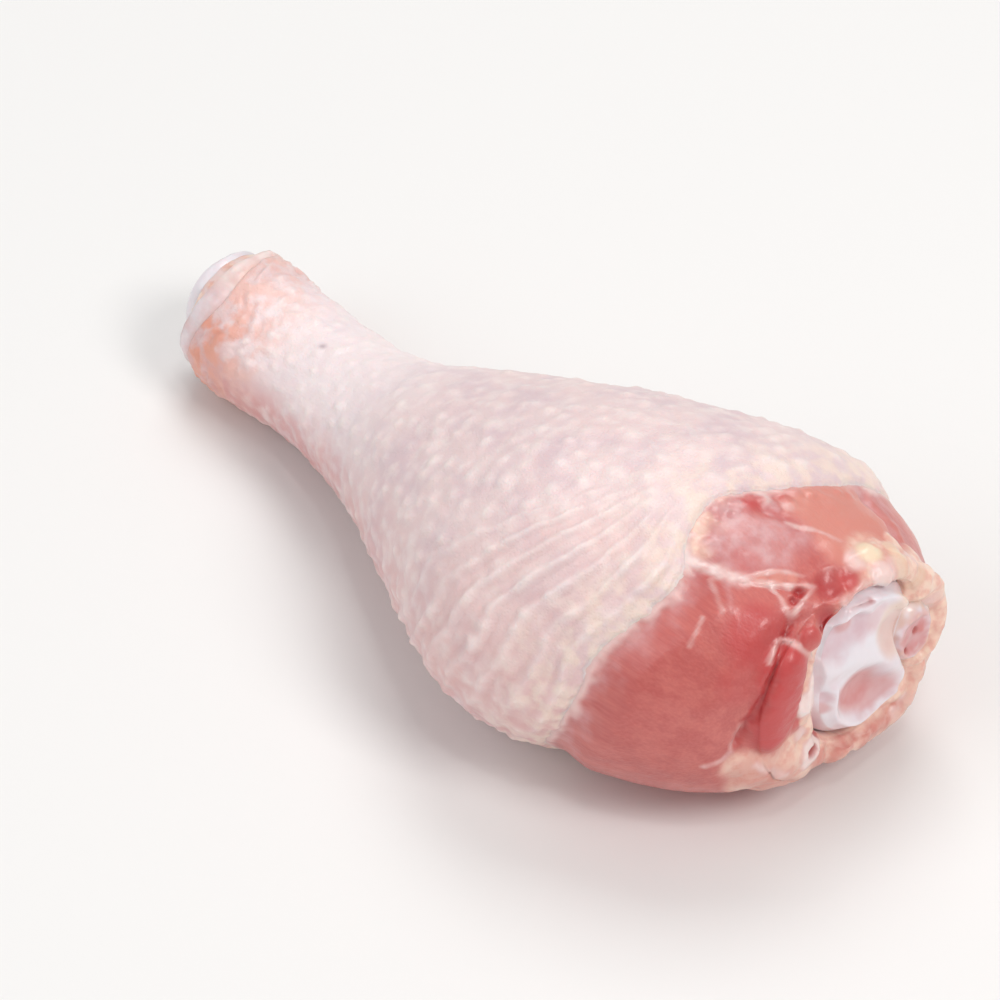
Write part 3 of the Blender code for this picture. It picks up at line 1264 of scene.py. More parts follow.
@dataclass
class BareFlesh:
    """The flesh: muscles, films and fat where the skin is cut back, and the capsule round the knuckles."""

    form: LegForm
    around: int = 470
    dense_side: float = 130.0
    hock_rings: int = 16
    hidden_rings: int = 10
    knee_rings: int = 122
    face_rings: int = 46
    channel_rings: int = 6
    end_rings: int = 8
    hock_swell: float = 0.55
    hock_slant: float = 2.4
    hock_groove: float = 112.0
    rim_swell: float = 1.9
    hidden_part: Pair = (14.0, 92.0)
    channel_gap: float = 0.15
    face_overlap: int = 6
    face_past: float = 20.0
    floor_gap: float = 0.05
    settling_rings: int = 12
    face_centre: Pair = (-0.8, 22.3)
    rim_scraps: int = 40
    cut_scraps: int = 46
    seed: int = 21
    features: tuple["Lobe | Seam", ...] = (
        # The pale upper muscle and the milky film beside it.
        Lobe(BARREL, (114.5, 68), 9.5, 0.5, PALE_MUSCLE, 0.95),
        Lobe(BARREL, (117.0, 58), 8.0, 0.5, PALE_MUSCLE, 0.9),
        Lobe(BARREL, (119.0, 80), 3.6, 0.4, PALE_MUSCLE, 0.8),
        Lobe(BARREL, (111.2, 101), 6.4, 0.4, FILM, 0.85),
        Lobe(BARREL, (114.6, 92), 5.4, 0.4, FILM, 0.75),
        Lobe(BARREL, (113.4, 105), 2.6, -0.2, RED_MUSCLE, 0.45),
        Lobe(BARREL, (118.6, 91), 3.6, -0.2, MUSCLE, 0.7),
        # The far side's muscles.
        Lobe(BARREL, (114.0, 12), 9.0, 0.6, PALE_MUSCLE, 0.6),
        Lobe(BARREL, (110.0, 255), 10.0, 0.5, RED_MUSCLE, 0.5),
        Lobe(BARREL, (113.0, 315), 9.0, 0.5, PALE_MUSCLE, 0.55),
        Seam(BARREL, ((110, 46), (117, 46), (121, 47)), 1.2, -1.0, FILM, 0.8),
        Seam(BARREL, ((99, 226), (108, 226), (116, 226), (120, 228)), 1.1, -1.0, FILM, 0.75),
        Seam(BARREL, ((101, 284), (110, 284), (119, 285)), 1.2, -1.0, FILM, 0.75),
        Seam(BARREL, ((110, 345), (116, 345), (121, 345)), 1.2, -0.9, FAT, 0.7),
        # The border between the film and the pale muscle.
        Seam(BARREL, ((110.0, 88), (112.0, 86), (114.1, 84)), 0.7, -0.4, RED_MUSCLE, 0.5),
        Seam(BARREL, ((112.8, 86), (114.1, 84), (116.3, 79), (118.3, 77), (119.9, 74), (122.2, 69)),
             0.31, 0.3, WHITE_FAT, 0.57),
        # The calf muscle turns redder towards the slit.
        Lobe(BARREL, (120.0, 126), 5.4, 0.3, RED_MUSCLE, 0.9),
        Lobe(BARREL, (121.2, 148), 4.0, 0.3, RED_MUSCLE, 0.45),
        # The hollow above the knuckles.
        Lobe(BARREL, (122.3, 95), 2.9, -1.2, BLOOD, 0.75),
        Lobe(BARREL, (121.6, 122), 3.2, 0.1, BLOOD, 0.35),
        Lobe(BARREL, (123.4, 90), 2.2, -0.8, RED_MUSCLE, 0.85),
        Lobe(FACE, (-6.4, 34.6), 2.0, -1.5, BLOOD, 0.9, tall=1.4),
        Lobe(BARREL, (121.4, 108), 2.4, 0.5, MUSCLE, 0.8),
        Lobe(FACE, (-9.4, 33.4), 1.9, 0.7, RED_MUSCLE, 0.8, True),
        # The band of fascia along the calf muscle's upper border, its tan pocket and its forks.
        Seam(BARREL, ((106.8, 117), (109.8, 114.5), (112.4, 113), (114.7, 111)), 0.75, 0.4, WHITE_FAT, 0.75),
        Lobe(BARREL, (116.2, 106.5), 1.4, 0.3, PALE_MUSCLE, 0.95),
        Lobe(BARREL, (117.4, 103), 1.5, 0.35, PALE_MUSCLE, 0.95),
        Lobe(BARREL, (118.6, 100), 1.2, 0.3, PALE_MUSCLE, 0.9),
        Seam(BARREL, ((114.7, 110.5), (115.8, 104), (117.4, 99.5), (119.4, 97)), 0.31, 0.3, WHITE_FAT, 0.46),
        Seam(BARREL, ((114.7, 111), (117.3, 106.5), (119.9, 101.5), (121.2, 97.5)),
             0.38, 0.4, WHITE_FAT, 0.61),
        Lobe(BARREL, (120.5, 103.4), 1.1, -1.0, BLOOD, 0.9),
        Lobe(BARREL, (120.7, 107.5), 0.9, -0.8, BLOOD, 0.7),
        Seam(BARREL, ((121.2, 97.5), (121.5, 107), (121.9, 117)), 0.32, 0.4, WHITE_FAT, 0.57),
        Seam(BARREL, ((117.4, 107), (119.4, 108.5), (120.9, 112.5), (121.9, 117)),
             0.31, 0.35, WHITE_FAT, 0.49),
        Seam(BARREL, ((112.0, 116.5), (112.9, 118), (115.4, 123)), 0.36, 0.12, WHITE_FAT, 0.30),
        Seam(BARREL, ((113.4, 115), (114.8, 117.5), (116.2, 121.5)), 0.34, 0.1, FILM, 0.5),
        Seam(BARREL, ((114.1, 128), (114.5, 133), (114.7, 138)), 0.27, 0.12, WHITE_FAT, 0.34),
        # The small red muscle beside the rim, in the slit behind the calf muscle.
        Lobe(FACE, (-12.8, 31.4), 3.2, 1.2, RED_MUSCLE, 1.0),
        Lobe(FACE, (-14.4, 28.6), 4.2, 1.5, RED_MUSCLE, 1.0, True, 1.5),
        Lobe(FACE, (-15.8, 24.0), 4.2, 1.4, RED_MUSCLE, 1.0, True, 1.3),
        Lobe(FACE, (-16.4, 20.4), 3.8, 1.2, RED_MUSCLE),
        Lobe(FACE, (-12.2, 20.0), 2.4, 0.5, RED_MUSCLE, 0.9),
        Seam(BARREL, ((121.9, 117), (122.6, 125), (123.2, 142), (123.4, 156), (122.9, 168), (122.1, 183)),
             0.6, -1.1, RED_MUSCLE, 0.9),
        Seam(BARREL, ((123.3, 148), (123.4, 160), (122.9, 170)), 0.8, -1.1, BLOOD, 1.0),
        Lobe(BARREL, (122.4, 124), 0.7, -1.0, BLOOD, 1.0),
        Seam(BARREL, ((122.4, 172), (121.9, 181), (121.4, 189), (119.6, 190)), 0.36, 0.3, WHITE_FAT, 0.42),
        Seam(FACE, ((-15.0, 31.8), (-13.7, 33.6), (-12.2, 33.8), (-10.8, 32.6), (-9.4, 29.6)),
             0.38, 0.5, WHITE_FAT, 0.53),
        Seam(FACE, ((-9.3, 29.4), (-9.6, 27.4), (-10.6, 25.2)), 0.8, 0.7, FAT, 0.95),
        # White fat between the red muscle and the lower knuckle.
        Lobe(FACE, (-8.6, 25.6), 2.4, 1.1, WHITE_FAT, 1.0, tall=1.2),
        Lobe(FACE, (-10.2, 22.8), 2.7, 1.5, WHITE_FAT, 1.0, True, 1.1),
        Lobe(FACE, (-8.2, 21.2), 2.3, 1.2, WHITE_FAT, 1.0, tall=1.3),
        Lobe(FACE, (-10.6, 20.2), 1.7, 0.9, FAT, 0.8, True),
        Lobe(FACE, (-9.0, 17.6), 2.1, 0.9, FAT, 0.9, tall=1.4),
        Lobe(FACE, (-11.4, 17.4), 1.5, 0.7, WHITE_FAT, 0.6),
        Lobe(FACE, (-7.0, 14.8), 1.9, -1.4, BLOOD, 0.8),
        # The bottom lobes of orange fat, with a small dark hole in a white ring.
        Lobe(BARREL, (122.0, 198), 3.4, 1.0, FAT, 1.0),
        Lobe(BARREL, (122.0, 214), 4.4, 1.3, FAT, 1.0),
        Lobe(FACE, (-17.2, 15.4), 3.6, 1.3, FAT, 1.0),
        Lobe(FACE, (-13.8, 12.8), 3.9, 1.5, FAT, 1.0),
        Lobe(FACE, (-10.4, 9.6), 3.4, 1.2, FAT, 1.0),
        Lobe(BARREL, (122.0, 232), 4.8, 1.3, FAT, 1.0),
        Lobe(BARREL, (122.4, 205), 5.0, 0.0, PALE_MUSCLE, 0.55),
        Lobe(FACE, (-14.6, 11.8), 5.0, 0.0, PALE_MUSCLE, 0.5),
        Lobe(BARREL, (121.6, 236), 6.0, 0.0, PALE_MUSCLE, 0.4),
        # A white streak over the bottom lobes: painted highlight.
        Seam(FACE, ((-17.6, 16.6), (-15.4, 14.6), (-13.4, 13.2)), 0.45, 0.25, WHITE_FAT, 0.61),
        Lobe(FACE, (-9.2, 13.2), 2.5, 1.1, WHITE_FAT, 0.9, True),
        Lobe(FACE, (-9.2, 13.1), 1.4, -2.4, BLOOD, 1.0, tall=0.8),
        # Yellow fat above the knuckles and the cream rim round the front.
        Lobe(FACE, (4.6, 36.8), 4.6, 0.5, FAT, 0.9),
        Lobe(BARREL, (122.0, 66), 3.6, 0.3, PALE_MUSCLE, 0.6),
        Lobe(FACE, (2.0, 38.0), 2.2, 0.6, WHITE_FAT, 0.6),
        Lobe(FACE, (4.0, 37.0), 2.7, 0.9, YELLOW_FAT, 0.85),
        Lobe(FACE, (3.2, 36.0), 1.9, 0.2, WHITE_FAT, 0.55),
        Lobe(FACE, (5.8, 35.4), 2.2, 0.5, WHITE_FAT, 0.5),
        Lobe(FACE, (7.4, 34.9), 2.6, 0.8, YELLOW_FAT, 0.65, tall=1.3),
        Lobe(FACE, (9.0, 32.8), 2.4, 0.8, FAT, 0.7, tall=1.4),
        Lobe(FACE, (10.2, 31.0), 2.2, 0.7, YELLOW_FAT, 0.5),
        Lobe(BARREL, (122.2, 73), 2.4, 0.5, YELLOW_FAT, 0.6),
        Lobe(BARREL, (121.2, 66), 1.7, 0.6, FAT, 0.8, True),
        Lobe(BARREL, (122.4, 60), 1.9, 0.7, YELLOW_FAT, 0.6, True),
        Lobe(BARREL, (121.0, 54), 2.0, 0.6, FAT, 0.8, True),
        Lobe(FACE, (11.6, 28.8), 2.4, 0.9, FAT, 0.9, True),
        Seam(FACE, ((-2.6, 9.0), (1.2, 7.6), (5.2, 7.0), (8.8, 8.4), (11.4, 11.6), (12.6, 14.6)),
             1.3, 1.1, FAT, 1.0),
        Seam(FACE, ((-6.8, 8.6), (1.2, 6.6), (8.8, 7.6), (13.0, 13.6)), 2.6, 0.0, PALE_MUSCLE, 0.3),
        Seam(FACE, ((-3.6, 9.8), (1.2, 8.9), (5.0, 8.4)), 0.8, 0.5, RED_MUSCLE, 0.6),
        # The kneecap's bed and the ring of fat round it.
        Lobe(FACE, (10.1, 22.2), 5.0, -1.8, FAT, 1.0),
        Seam(FACE, ((7.0, 28.4), (10.6, 29.0), (13.9, 27.4), (15.4, 23.4), (15.1, 19.2), (12.6, 16.4),
                    (9.4, 16.2)),
             1.2, 1.5, FAT, 1.0),
        Seam(FACE, ((7.6, 27.6), (6.4, 25.0), (6.8, 21.4), (8.2, 18.4)), 0.6, 0.8, FAT, 1.0),
        # The cartilage that laps over the knuckles' upper edge.
        Seam(FACE, ((-3.4, 35.9), (0.6, 36.4), (4.4, 35.0), (7.4, 32.0)), 0.50, 0.5, WHITE_FAT, 0.65),
    )

    def angles(self) -> np.ndarray:
        """The angles of the points of a ring, closer together on the calf side."""
        even = np.arange(self.around) * TURN / self.around
        return even - 0.3 * np.sin(even - math.radians(self.dense_side))

    def rings(self) -> tuple[np.ndarray, int, int]:
        """Lays the rings: along the outside, over the rim to the bone, and back through the bone's channel.

        Returns:
            The points, the number of rings outside and the number of rings that show.
        """
        angle = self.angles()
        hock_end, knee_start = self.hidden_part
        end = self.form.body[-1].along
        barrel = np.concatenate([
            np.linspace(self.form.flesh_start, hock_end, self.hock_rings, endpoint=False),
            np.linspace(hock_end, knee_start, self.hidden_rings, endpoint=False),
            np.linspace(knee_start, end, self.knee_rings),
        ])[:, None]
        cut = 0.2 + self.hock_slant * np.clip(np.sin(angle), 0, 1) + 0.5 * np.clip(-np.cos(angle), 0, 1)
        barrel = barrel + cut * (1 - smooth_step(self.form.flesh_start, hock_end, barrel))
        outside = self.form.surface(barrel, angle[None, :] + 0 * barrel, self.form.flesh_depth)
        degrees = np.degrees(angle)
        corner = 2.6 * arc(degrees, 288, 352, 40) + 0.8 * arc(degrees, 45, 100, 30)
        corner = corner * smooth_step(113, 122, barrel)
        outside += np.stack([0 * corner, corner * np.cos(angle), corner * np.sin(angle)], axis=-1)
        socket = self.form.head_ring(end, angle, self.channel_gap)
        share = np.linspace(0, 1, self.face_rings + 1)[1:, None, None]
        face = outside[-1] + (socket - outside[-1]) * share
        bulge = self.rim_swell * np.sin(np.minimum(share[..., 0] * 3.2, math.pi / 2)) ** 0.8
        dip = 0.3 * smooth_step(0.3, 0.75, share[..., 0]) + 0.7 * smooth_step(0.9, 1.0, share[..., 0])
        face[..., 0] = end + bulge - dip
        channel_along = np.linspace(end - 0.8, self.form.flesh_start + 0.8, self.channel_rings)
        channel = np.stack([self.form.bone_ring(along, angle, self.channel_gap) for along in channel_along])
        share = np.linspace(0, 1, self.end_rings + 1)[:-1, None, None]
        cap_start = self.form.bone_ring(self.form.flesh_start, angle, self.channel_gap)
        cap = cap_start + (outside[0] - cap_start) * share
        swell = self.hock_swell * np.sin(math.pi * share[..., 0]) ** 0.6
        cap[..., 0] -= swell * (1 + 0.6 * rough(cap, 3.0, 26.0))
        return np.concatenate([outside, face, channel, cap]), len(outside), len(outside) + len(face)

    def scraps(self) -> list[Lobe]:
        """Scatters small lumps of fat round the rim and along the cut above the film.

        Returns:
            The lumps, those of the rim first.
        """
        draw = np.random.default_rng(self.seed)
        lumps = []
        front, up = self.face_centre
        for _ in range(self.rim_scraps):
            angle = draw.uniform(-math.pi * 0.78, math.pi * 0.42)
            reach = draw.uniform(12.5, 17.0)
            at = (front + reach * math.cos(angle), up + reach * math.sin(angle))
            tissue = draw.choice([FAT, FAT, WHITE_FAT, PALE_MUSCLE])
            lumps.append(Lobe(FACE, at, draw.uniform(1.2, 2.4), draw.uniform(0.3, 0.8), tissue, 0.75, True))
        for _ in range(self.cut_scraps):
            degrees = draw.uniform(55, 112)
            edge = float(self.form.edge(self.form.knee_edge, np.array(math.radians(degrees))))
            at = (edge + draw.uniform(0.2, 3.4), degrees)
            tissue = draw.choice([WHITE_FAT, FAT, RED_MUSCLE, FILM])
            rise = draw.uniform(0.2, 0.55)
            radius = draw.uniform(1.0, 2.2)
            lumps.append(Lobe(BARREL, at, radius, rise, tissue, draw.uniform(0.4, 0.9)))
        return lumps

    def wisps(self, painter: Painter, past: np.ndarray) -> None:
        """Leaves wisps of pale film and fat along the skin's cut edge.

        Args:
            painter: what shapes the bare end.
            past: how far each point is past the edge.
        """
        streaks = rough(painter.points, 2.4, 11.0)
        near = smooth_step(1.7, -0.2, past + 1.2 * streaks) * smooth_step(-6, -3, past)
        painter.tint(FILM, smooth_step(4.6, 0.0, past + 2.6 * streaks) * 0.6)
        painter.tint(WHITE_FAT, near * 0.65)
        painter.raised += 0.3 * near

    def spots(self, points: np.ndarray, outside: int) -> FleshSpots:
        """Places the rings against the skin's edges.

        Args:
            points: the rings that show.
            outside: how many of them are on the leg's outside.

        Returns:
            Their places.
        """
        angle = self.angles() + np.zeros((len(points), 1))
        past_hock = points[..., 0] - self.form.edge(self.form.hock_edge, angle)
        past_knee = points[..., 0] - self.form.edge(self.form.knee_edge, angle)
        past_knee[outside:] = self.face_past
        on_face = np.zeros(points.shape[:2])
        on_face[outside:] = smooth_step(0.0, 0.4, np.linspace(0, 1, len(points) - outside))[:, None]
        return FleshSpots(points, np.degrees(angle) % 360, past_hock, past_knee, on_face)

    def rim(self, flesh: FleshSpots) -> np.ndarray:
        """Reads where the joint's fatty rim is.

        Args:
            flesh: places on the flesh.

        Returns:
            The rim's share, from 0 to 1.
        """
        rim = smooth_step(120.8, 123.2, flesh.along + 0.8 * rough(flesh.points, 3.0, 12.0))
        rim = rim * (1 - arc(flesh.degrees, 84, 204, 10) * (1 - flesh.on_face))
        return rim * (1 - 0.75 * arc(flesh.degrees, 88, 130, 12))

    def paint_knee(self, painter: Painter, flesh: FleshSpots, rim: np.ndarray) -> None:
        """Lays the calf's swell, the fatty rim, the wisps, the scraps and the features of the bare end.

        Args:
            painter: what shapes and tints the flesh.
            flesh: places on the flesh.
            rim: the rim's share.
        """
        calf = arc(flesh.degrees, 112, 226, 20) * flesh.bare * (1 - smooth_step(119.5, 122.6, flesh.along))
        painter.raised += calf * (1 - flesh.on_face)
        painter.tint(FAT, rim * 0.85)
        self.wisps(painter, flesh.past_knee)
        painter.add((*self.scraps(), *self.features))

    def paint_hock(self, painter: Painter, flesh: FleshSpots) -> None:
        """Lays the fat under the skin and the tendons that show at the hock.

        Args:
            painter: what tints the flesh.
            flesh: places on the flesh.
        """
        painter.tint(FAT, smooth_step(13, 11, flesh.along) * 0.9)
        patchy = 0.9 + 0.5 * rough(flesh.points, 2.4, 27.0)
        painter.tint(WHITE_FAT, flesh.exposed * arc(flesh.degrees, 40, 300, 50) * patchy)
        painter.tint(GRISTLE, flesh.exposed * arc(flesh.degrees, 118, 290, 24) * patchy)

    def relief(self, painter: Painter, flesh: FleshSpots, rim: np.ndarray) -> np.ndarray:
        """Works out how far the flesh stands out.

        Args:
            painter: what has shaped the bare end.
            flesh: places on the flesh.
            rim: the rim's share.

        Returns:
            The rise at each place, in millimetres.
        """
        past = flesh.past_knee
        uneven = 0.26 * rough(flesh.points, 2.6, 13.0, 3) * (0.3 + 0.7 * rim) * smooth_step(0, 2, past)
        rise = painter.raised * smooth_step(-1, 0.6, past) + painter.sunk * smooth_step(-0.5, 1.5, past)
        rise = rise + uneven + 0.75 * flesh.bare * (1 - flesh.on_face)
        groove = np.exp(-(((flesh.degrees - self.hock_groove) / 10) ** 2))
        swell = self.hock_swell - 0.6 * groove + 0.35 * rough(flesh.points, 2.6, 28.0)
        rise = rise + flesh.exposed * swell + 0.25 * smooth_step(5.0, 2.0, flesh.past_hock)
        rise[-self.settling_rings:] *= np.linspace(0.9, 0.1, self.settling_rings)[:, None]
        return rise

    def build(self, origin: np.ndarray) -> None:
        """Builds the flesh.

        Args:
            origin: where the hock end is in the frame, in metres.
        """
        points, outside, showing = self.rings()
        flesh = self.spots(points[:showing], outside)
        painter = Painter(self.form, flesh.points, flesh.points[outside - self.face_overlap:], MUSCLE)
        rim = self.rim(flesh)
        self.paint_knee(painter, flesh, rim)
        self.paint_hock(painter, flesh)
        shown = flesh.points + grid_normals(flesh.points) * self.relief(painter, flesh, rim)[..., None]
        shown[..., 2] = np.maximum(shown[..., 2], self.floor_gap)
        points[:showing] = shown

        hidden = np.zeros((len(points) - showing, self.around))
        tendons = 0.8 * smooth_step(-0.2, 0.35, rough(points[showing:], 3.0, 29.0, 3))
        inside = {FAT: 1 - tendons, WHITE_FAT: tendons}
        masks = {
            tissue.value: np.concatenate([values, inside.get(tissue, hidden)])
            for tissue, values in painter.masks.items()
        }
        mesh = Grid(points, masks, closed_loop=True).mesh("bare_flesh", origin)
        add_piece("bare_flesh", mesh, FleshFinish().make(), "flesh")


@dataclass
class ShinBone:
    """The shin bone, whose gristle-capped ends carry two knuckles each."""

    form: LegForm
    around: int = 220
    end_rings: int = 70
    head_rings: tuple[int, int] = (12, 16)
    shaft_rings: int = 12
    shaft: Pair = (14.0, 108.0)
    knee_rise: float = 1.0
    hock_rise: float = 1.7
    knee_tilt: float = 0.11
    knee_features: tuple["Lobe | Seam", ...] = (
        # The upper knuckle: a shallow bowl with a pink spot, under a raised crescent.
        Lobe(FACE, (-2.4, 31.2), 4.8, -1.1, LILAC_GRISTLE, 0.8),
        Lobe(FACE, (-5.6, 29.6), 3.9, -0.8, LILAC_GRISTLE, 0.95),
        Lobe(FACE, (-5.4, 32.4), 2.4, -0.4, LILAC_GRISTLE, 0.8),
        Lobe(FACE, (-3.0, 31.4), 1.8, 0.25, PINK_GRISTLE, 0.55),
        Seam(FACE, ((-4.6, 34.6), (-1.6, 35.4), (2.4, 35.2), (5.6, 33.2), (6.6, 30.6)), 1.1, 1.0, GRISTLE),
        Seam(FACE, ((-2.6, 34.2), (0.4, 34.4)), 0.45, -0.7, BLOOD, 0.8),
        Seam(FACE, ((-5.6, 33.4), (-2.4, 33.9), (0.6, 32.8)), 0.7, 0.45, GRISTLE),
        # The bridge between the knuckles.
        Seam(FACE, ((-7.4, 25.0), (-4.2, 25.8), (-0.6, 25.2), (2.6, 23.4), (6.0, 20.4)), 1.9, 0.7, GRISTLE),
        Lobe(FACE, (2.6, 30.2), 3.0, 0.0, PINK_GRISTLE, 0.3),
        # The tan slope on the right, beside the kneecap, is painted shade of the crevice between the bone and
        # the kneecap.
        Seam(FACE, ((7.0, 31.4), (7.6, 27.5), (7.2, 23.6)), 1.7, 0.0, FAT, 1.0),
        Lobe(FACE, (4.8, 28.6), 2.9, 0.0, FAT, 0.65, tall=1.5),
        Lobe(FACE, (4.8, 26.6), 3.7, -1.0, FAT, 0.95, tall=1.4),
        Lobe(FACE, (5.0, 26.2), 3.5, 0.0, PINK_GRISTLE, 0.5, tall=1.4),
        # The lower knuckle: a pink bowl with a raised white rim, and a ledge beside it.
        Lobe(FACE, (-0.2, 18.4), 5.4, -1.5, LILAC_GRISTLE, 0.5),
        Lobe(FACE, (3.0, 15.2), 5.4, -1.1, LILAC_GRISTLE, 0.4),
        Lobe(FACE, (-0.8, 18.4), 4.9, 0.0, PINK_GRISTLE, 0.8),
        Lobe(FACE, (3.2, 15.0), 4.9, 0.0, PINK_GRISTLE, 0.65),
        Seam(FACE, ((-5.2, 21.4), (-5.3, 17.8), (-4.2, 14.8), (-1.2, 12.6), (3.4, 11.2), (7.2, 12.0)),
             0.75, 0.8, GRISTLE),
        Lobe(FACE, (-6.8, 20.4), 1.7, -0.4, LILAC_GRISTLE, 0.9),
        Lobe(FACE, (-7.0, 18.6), 1.4, -0.2, PINK_GRISTLE, 0.5),
    )
    hock_features: tuple["Lobe | Seam", ...] = (
        Lobe(FACE, (-4.2, 9.6), 4.4, 1.3, GRISTLE, tall=1.5),
        Lobe(FACE, (4.2, 9.6), 4.4, 1.3, GRISTLE, tall=1.5),
        Seam(FACE, ((0.0, 16.6), (0.0, 2.8)), 1.3, -1.1, LILAC_GRISTLE, 0.8),
        Lobe(FACE, (0.0, 15.0), 2.4, -0.6, PINK_GRISTLE, 0.7),
        Lobe(FACE, (0.0, 4.4), 2.4, -0.6, PINK_GRISTLE, 0.7),
    )

    def end(
        self, ring: np.ndarray, outwards: int, features: tuple, rise: float, roundness: float
    ) -> tuple[np.ndarray, Painter]:
        """Makes the rings that close one end.

        Args:
            ring: the last ring of the bone.
            outwards: 1 at the knee and -1 at the hock.
            features: what shapes and tints the end.
            rise: how far the end stands out.
            roundness: how far in from the edge it keeps rising.

        Returns:
            The rings from the bone's edge to the middle, and their painter.
        """
        centre = ring.mean(axis=0)
        share = (1 - np.linspace(0, 1, self.end_rings + 1)[1:] ** 1.1 * 0.992)[:, None, None]
        points = centre + (ring - centre) * share
        painter = Painter(self.form, points, points, GRISTLE, creased=False, rounding=3)
        painter.add(features)
        edge = np.sqrt(np.clip(1 - share[..., 0] ** roundness, 0, 1))
        relief = (painter.raised + painter.sunk) * smooth_step(0.0, 0.3, edge)
        points[..., 0] += outwards * (rise * edge + relief)
        return points, painter

    def build(self, origin: np.ndarray) -> None:
        """Builds the bone.

        Args:
            origin: where the hock end is in the frame, in metres.
        """
        angle = np.arange(self.around) * TURN / self.around
        start, end = self.shaft
        steps = np.concatenate([
            np.linspace(self.form.bone[0].along, start, self.head_rings[0], endpoint=False),
            np.linspace(start, end, self.shaft_rings, endpoint=False),
            np.linspace(end, self.form.bone[-1].along, self.head_rings[1]),
        ])
        shaft = np.stack([self.form.head_ring(along, angle) for along in steps])
        hock, hock_painter = self.end(shaft[0], -1, self.hock_features, self.hock_rise, 2.2)
        knee, knee_painter = self.end(shaft[-1], 1, self.knee_features, self.knee_rise, 3.4)
        points = np.concatenate([hock[::-1], shaft, knee])
        points[..., 0] += self.knee_tilt * (points[..., 1] - 3.0) * smooth_step(119, 125.8, points[..., 0])
        calm_middle = smooth_step(0, 14, np.minimum(np.arange(len(points)), np.arange(len(points))[::-1]))
        points += grid_normals(points) * (0.1 * rough(points, 3.0, 14.0) * calm_middle[:, None])[..., None]
        sides = np.repeat(smooth_step(100, 116, steps)[:, None], self.around, axis=1)
        wall_shares = {PINK_GRISTLE: 0.05, LILAC_GRISTLE: 0.12, FAT: 0.0, BLOOD: 0.0}
        masks = {}
        for tissue, share in wall_shares.items():
            hock_mask, knee_mask = hock_painter.masks[tissue][::-1], knee_painter.masks[tissue]
            masks[tissue.value] = np.concatenate([hock_mask, sides * share, knee_mask])
        mesh = Grid(points, masks).mesh("shin_bone_gristle", origin)
        add_piece("shin_bone_gristle", mesh, GristleFinish("bone_gristle").make(), "shin_bone")


@dataclass
class Kneecap:
    """The disc of gristle beside the knuckles, in its ring of fat."""

    centre: Place = (124.8, 9.9, 22.1)
    half_size: Place = (2.2, 4.0, 5.1)
    around: int = 96
    rings: int = 60
    pole: float = 0.02
    ring_rise: float = 0.45
    dip: float = 0.6
    vessels: tuple[Place, ...] = ((0.02, 0.1, 0.13), (-0.42, -0.4, 0.1))

    def build(self, origin: np.ndarray) -> None:
        """Builds the kneecap.

        Args:
            origin: where the hock end is in the frame, in metres.
        """
        angle = np.arange(self.around) * TURN / self.around
        slope = np.linspace(self.pole, math.pi - self.pole, self.rings)[:, None]
        wide, tall = np.sin(slope) * np.cos(angle), np.sin(slope) * np.sin(angle)
        out = -np.cos(slope) + 0 * angle
        front = smooth_step(0.0, 0.3, out)
        reach = np.hypot(wide, tall)
        points = np.array(self.centre) + np.stack([out, wide, tall], axis=-1) * self.half_size
        ring = self.ring_rise * np.exp(-(((reach - 0.72) / 0.14) ** 2))
        points[..., 0] += front * (ring - self.dip * np.exp(-((reach / 0.5) ** 2)))
        points[..., 0] += 0.4 * rough(points, 2.2, 17.0)
        red = np.zeros(points.shape[:2])
        for across, up, size in self.vessels:
            red = np.maximum(red, smooth_step(1.3, 0.5, np.hypot(wide - across, tall - up) / size) * front)
        points[..., 0] -= 0.3 * red
        uneven = 0.3 * rough(points, 1.8, 25.0)
        masks = {
            PINK_GRISTLE.value: smooth_step(1.05, 0.5, reach + uneven) * (0.75 + 0.5 * uneven),
            FAT.value: smooth_step(0.6, 1.05, reach - uneven) * 0.85,
            # Red vessels, and painted shade: a faint dark red on the left side, towards the crevice against
            # the bone.
            BLOOD.value: np.maximum(red, 0.16 * smooth_step(-0.4, -0.85, wide + uneven) * front),
        }
        mesh = Grid(points, masks).mesh("kneecap_gristle", origin)
        material = GristleFinish("kneecap_gristle").make()
        add_piece("kneecap_gristle", mesh, material, "kneecap")


# --------------------------------------------------------------------------------------------------
# The setting


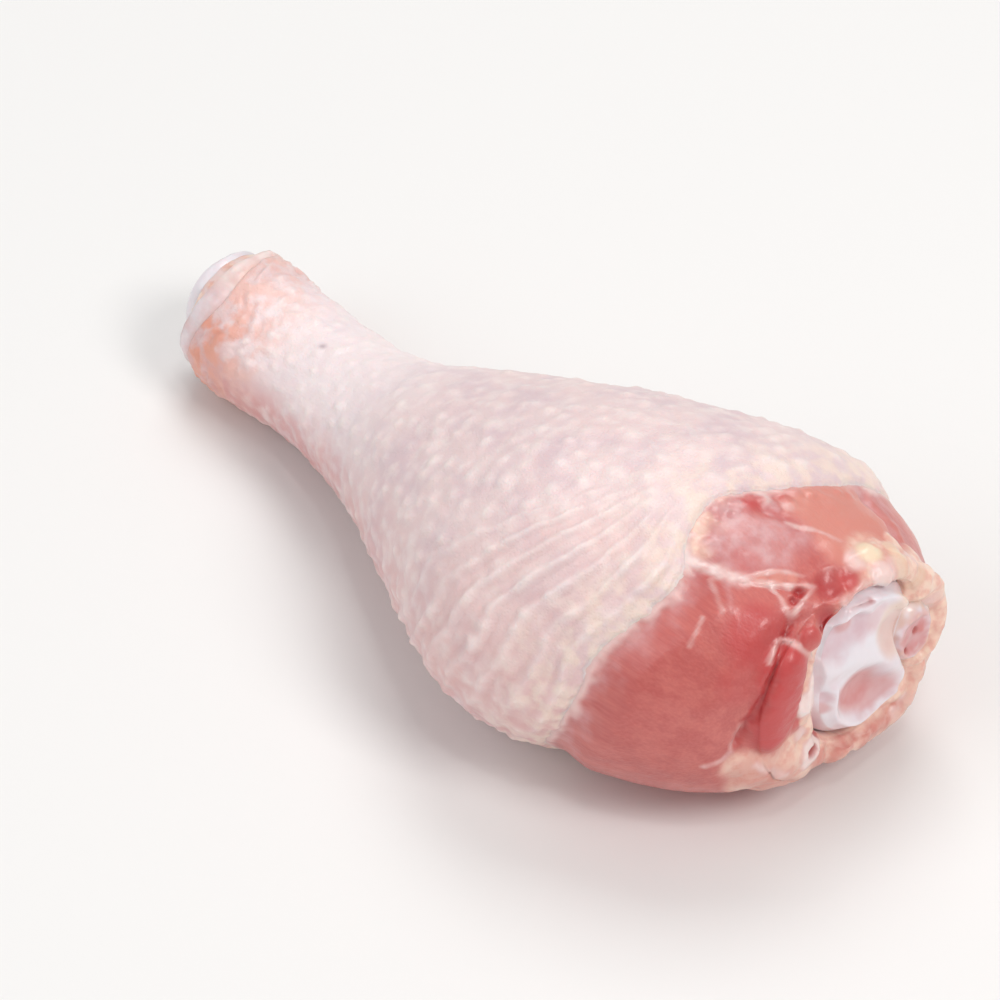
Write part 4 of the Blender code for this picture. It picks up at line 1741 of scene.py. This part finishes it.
@dataclass
class Studio:
    """The pale table, the soft lights and the camera."""

    azimuth: float = 45.0
    elevation: float = 43.0
    distance: float = 0.9
    lens: float = 236.0
    aim: Place = (0.002, -0.001, 0.018)
    table_size: float = 3.0
    light_distance: float = 1.2
    sky_strength: float = 0.42

    def direction(self, azimuth: float, elevation: float) -> Vector:
        """The direction towards an azimuth and an elevation, in degrees."""
        a, e = math.radians(azimuth), math.radians(elevation)
        return Vector((math.sin(a) * math.cos(e), -math.cos(a) * math.cos(e), math.sin(e)))

    def aimed(
        self, data: bpy.types.ID, name: str, azimuth: float, elevation: float, distance: float
    ) -> bpy.types.Object:
        """Adds a camera or light that looks at the middle of the drumstick.

        Args:
            data: the camera's or light's data.
            name: the object's name.
            azimuth: its direction, in degrees.
            elevation: its height, in degrees.
            distance: how far it stands off, in metres.

        Returns:
            The object.
        """
        made = bpy.data.objects.new(name, data)
        bpy.context.scene.collection.objects.link(made)
        towards = self.direction(azimuth, elevation)
        turn = towards.to_track_quat("Z", "Y").to_matrix().to_4x4()
        made.matrix_world = Matrix.Translation(Vector(self.aim) + towards * distance) @ turn
        return made

    def light(
        self, name: str, azimuth: float, elevation: float, size: float, power: float, colour: Colour
    ) -> None:
        """Adds a soft square light.

        Args:
            name: its name.
            azimuth: its direction, in degrees.
            elevation: its height, in degrees.
            size: its width, in metres.
            power: its power, in watts.
            colour: its colour.
        """
        data = bpy.data.lights.new(name, "AREA")
        data.size, data.energy, data.color = size, power, colour
        self.aimed(data, name, azimuth, elevation, self.light_distance)

    def build(self) -> None:
        """Builds the setting."""
        half = self.table_size / 2
        mesh = bpy.data.meshes.new("table")
        corners = [(-half, -half, 0), (half, -half, 0), (half, half, 0), (-half, half, 0)]
        mesh.from_pydata(corners, [], [(0, 1, 2, 3)])
        mesh.materials.append(TableFinish().make())
        table = bpy.data.objects.new("table", mesh)
        bpy.context.scene.collection.objects.link(table)

        world = bpy.data.worlds.new("soft_white")
        world.use_nodes = True
        sky = world.node_tree.nodes["Background"]
        sky.inputs["Color"].default_value = (1.0, 0.99, 0.98, 1.0)
        sky.inputs["Strength"].default_value = self.sky_strength
        bpy.context.scene.world = world
        self.light("key", 92, 48, 0.4, 5.2, (1.0, 0.985, 0.965))
        self.light("top", 215, 62, 0.6, 4.9, (1.0, 0.99, 0.975))
        self.light("side", -20, 42, 0.8, 2.7, (0.98, 0.985, 1.0))
        self.light("glint", 60, 66, 0.1, 0.8, (1.0, 1.0, 1.0))

        data = bpy.data.cameras.new("camera")
        data.lens = self.lens
        data.clip_end = 20
        bpy.context.scene.camera = self.aimed(data, "camera", self.azimuth, self.elevation, self.distance)
        bpy.context.scene.view_settings.view_transform = "Standard"
        LOG.info("studio: camera at %.0f, %.0f degrees", self.azimuth, self.elevation)


def main() -> None:
    """Builds the setting and every piece in order."""
    logging.basicConfig(level=logging.INFO, format="%(message)s")
    Studio().build()
    form = LegForm()
    origin = form.origin()
    for part in (SkinSleeve(form), BareFlesh(form), ShinBone(form), Kneecap()):
        part.build(origin)


if __name__ == "__main__":
    main()
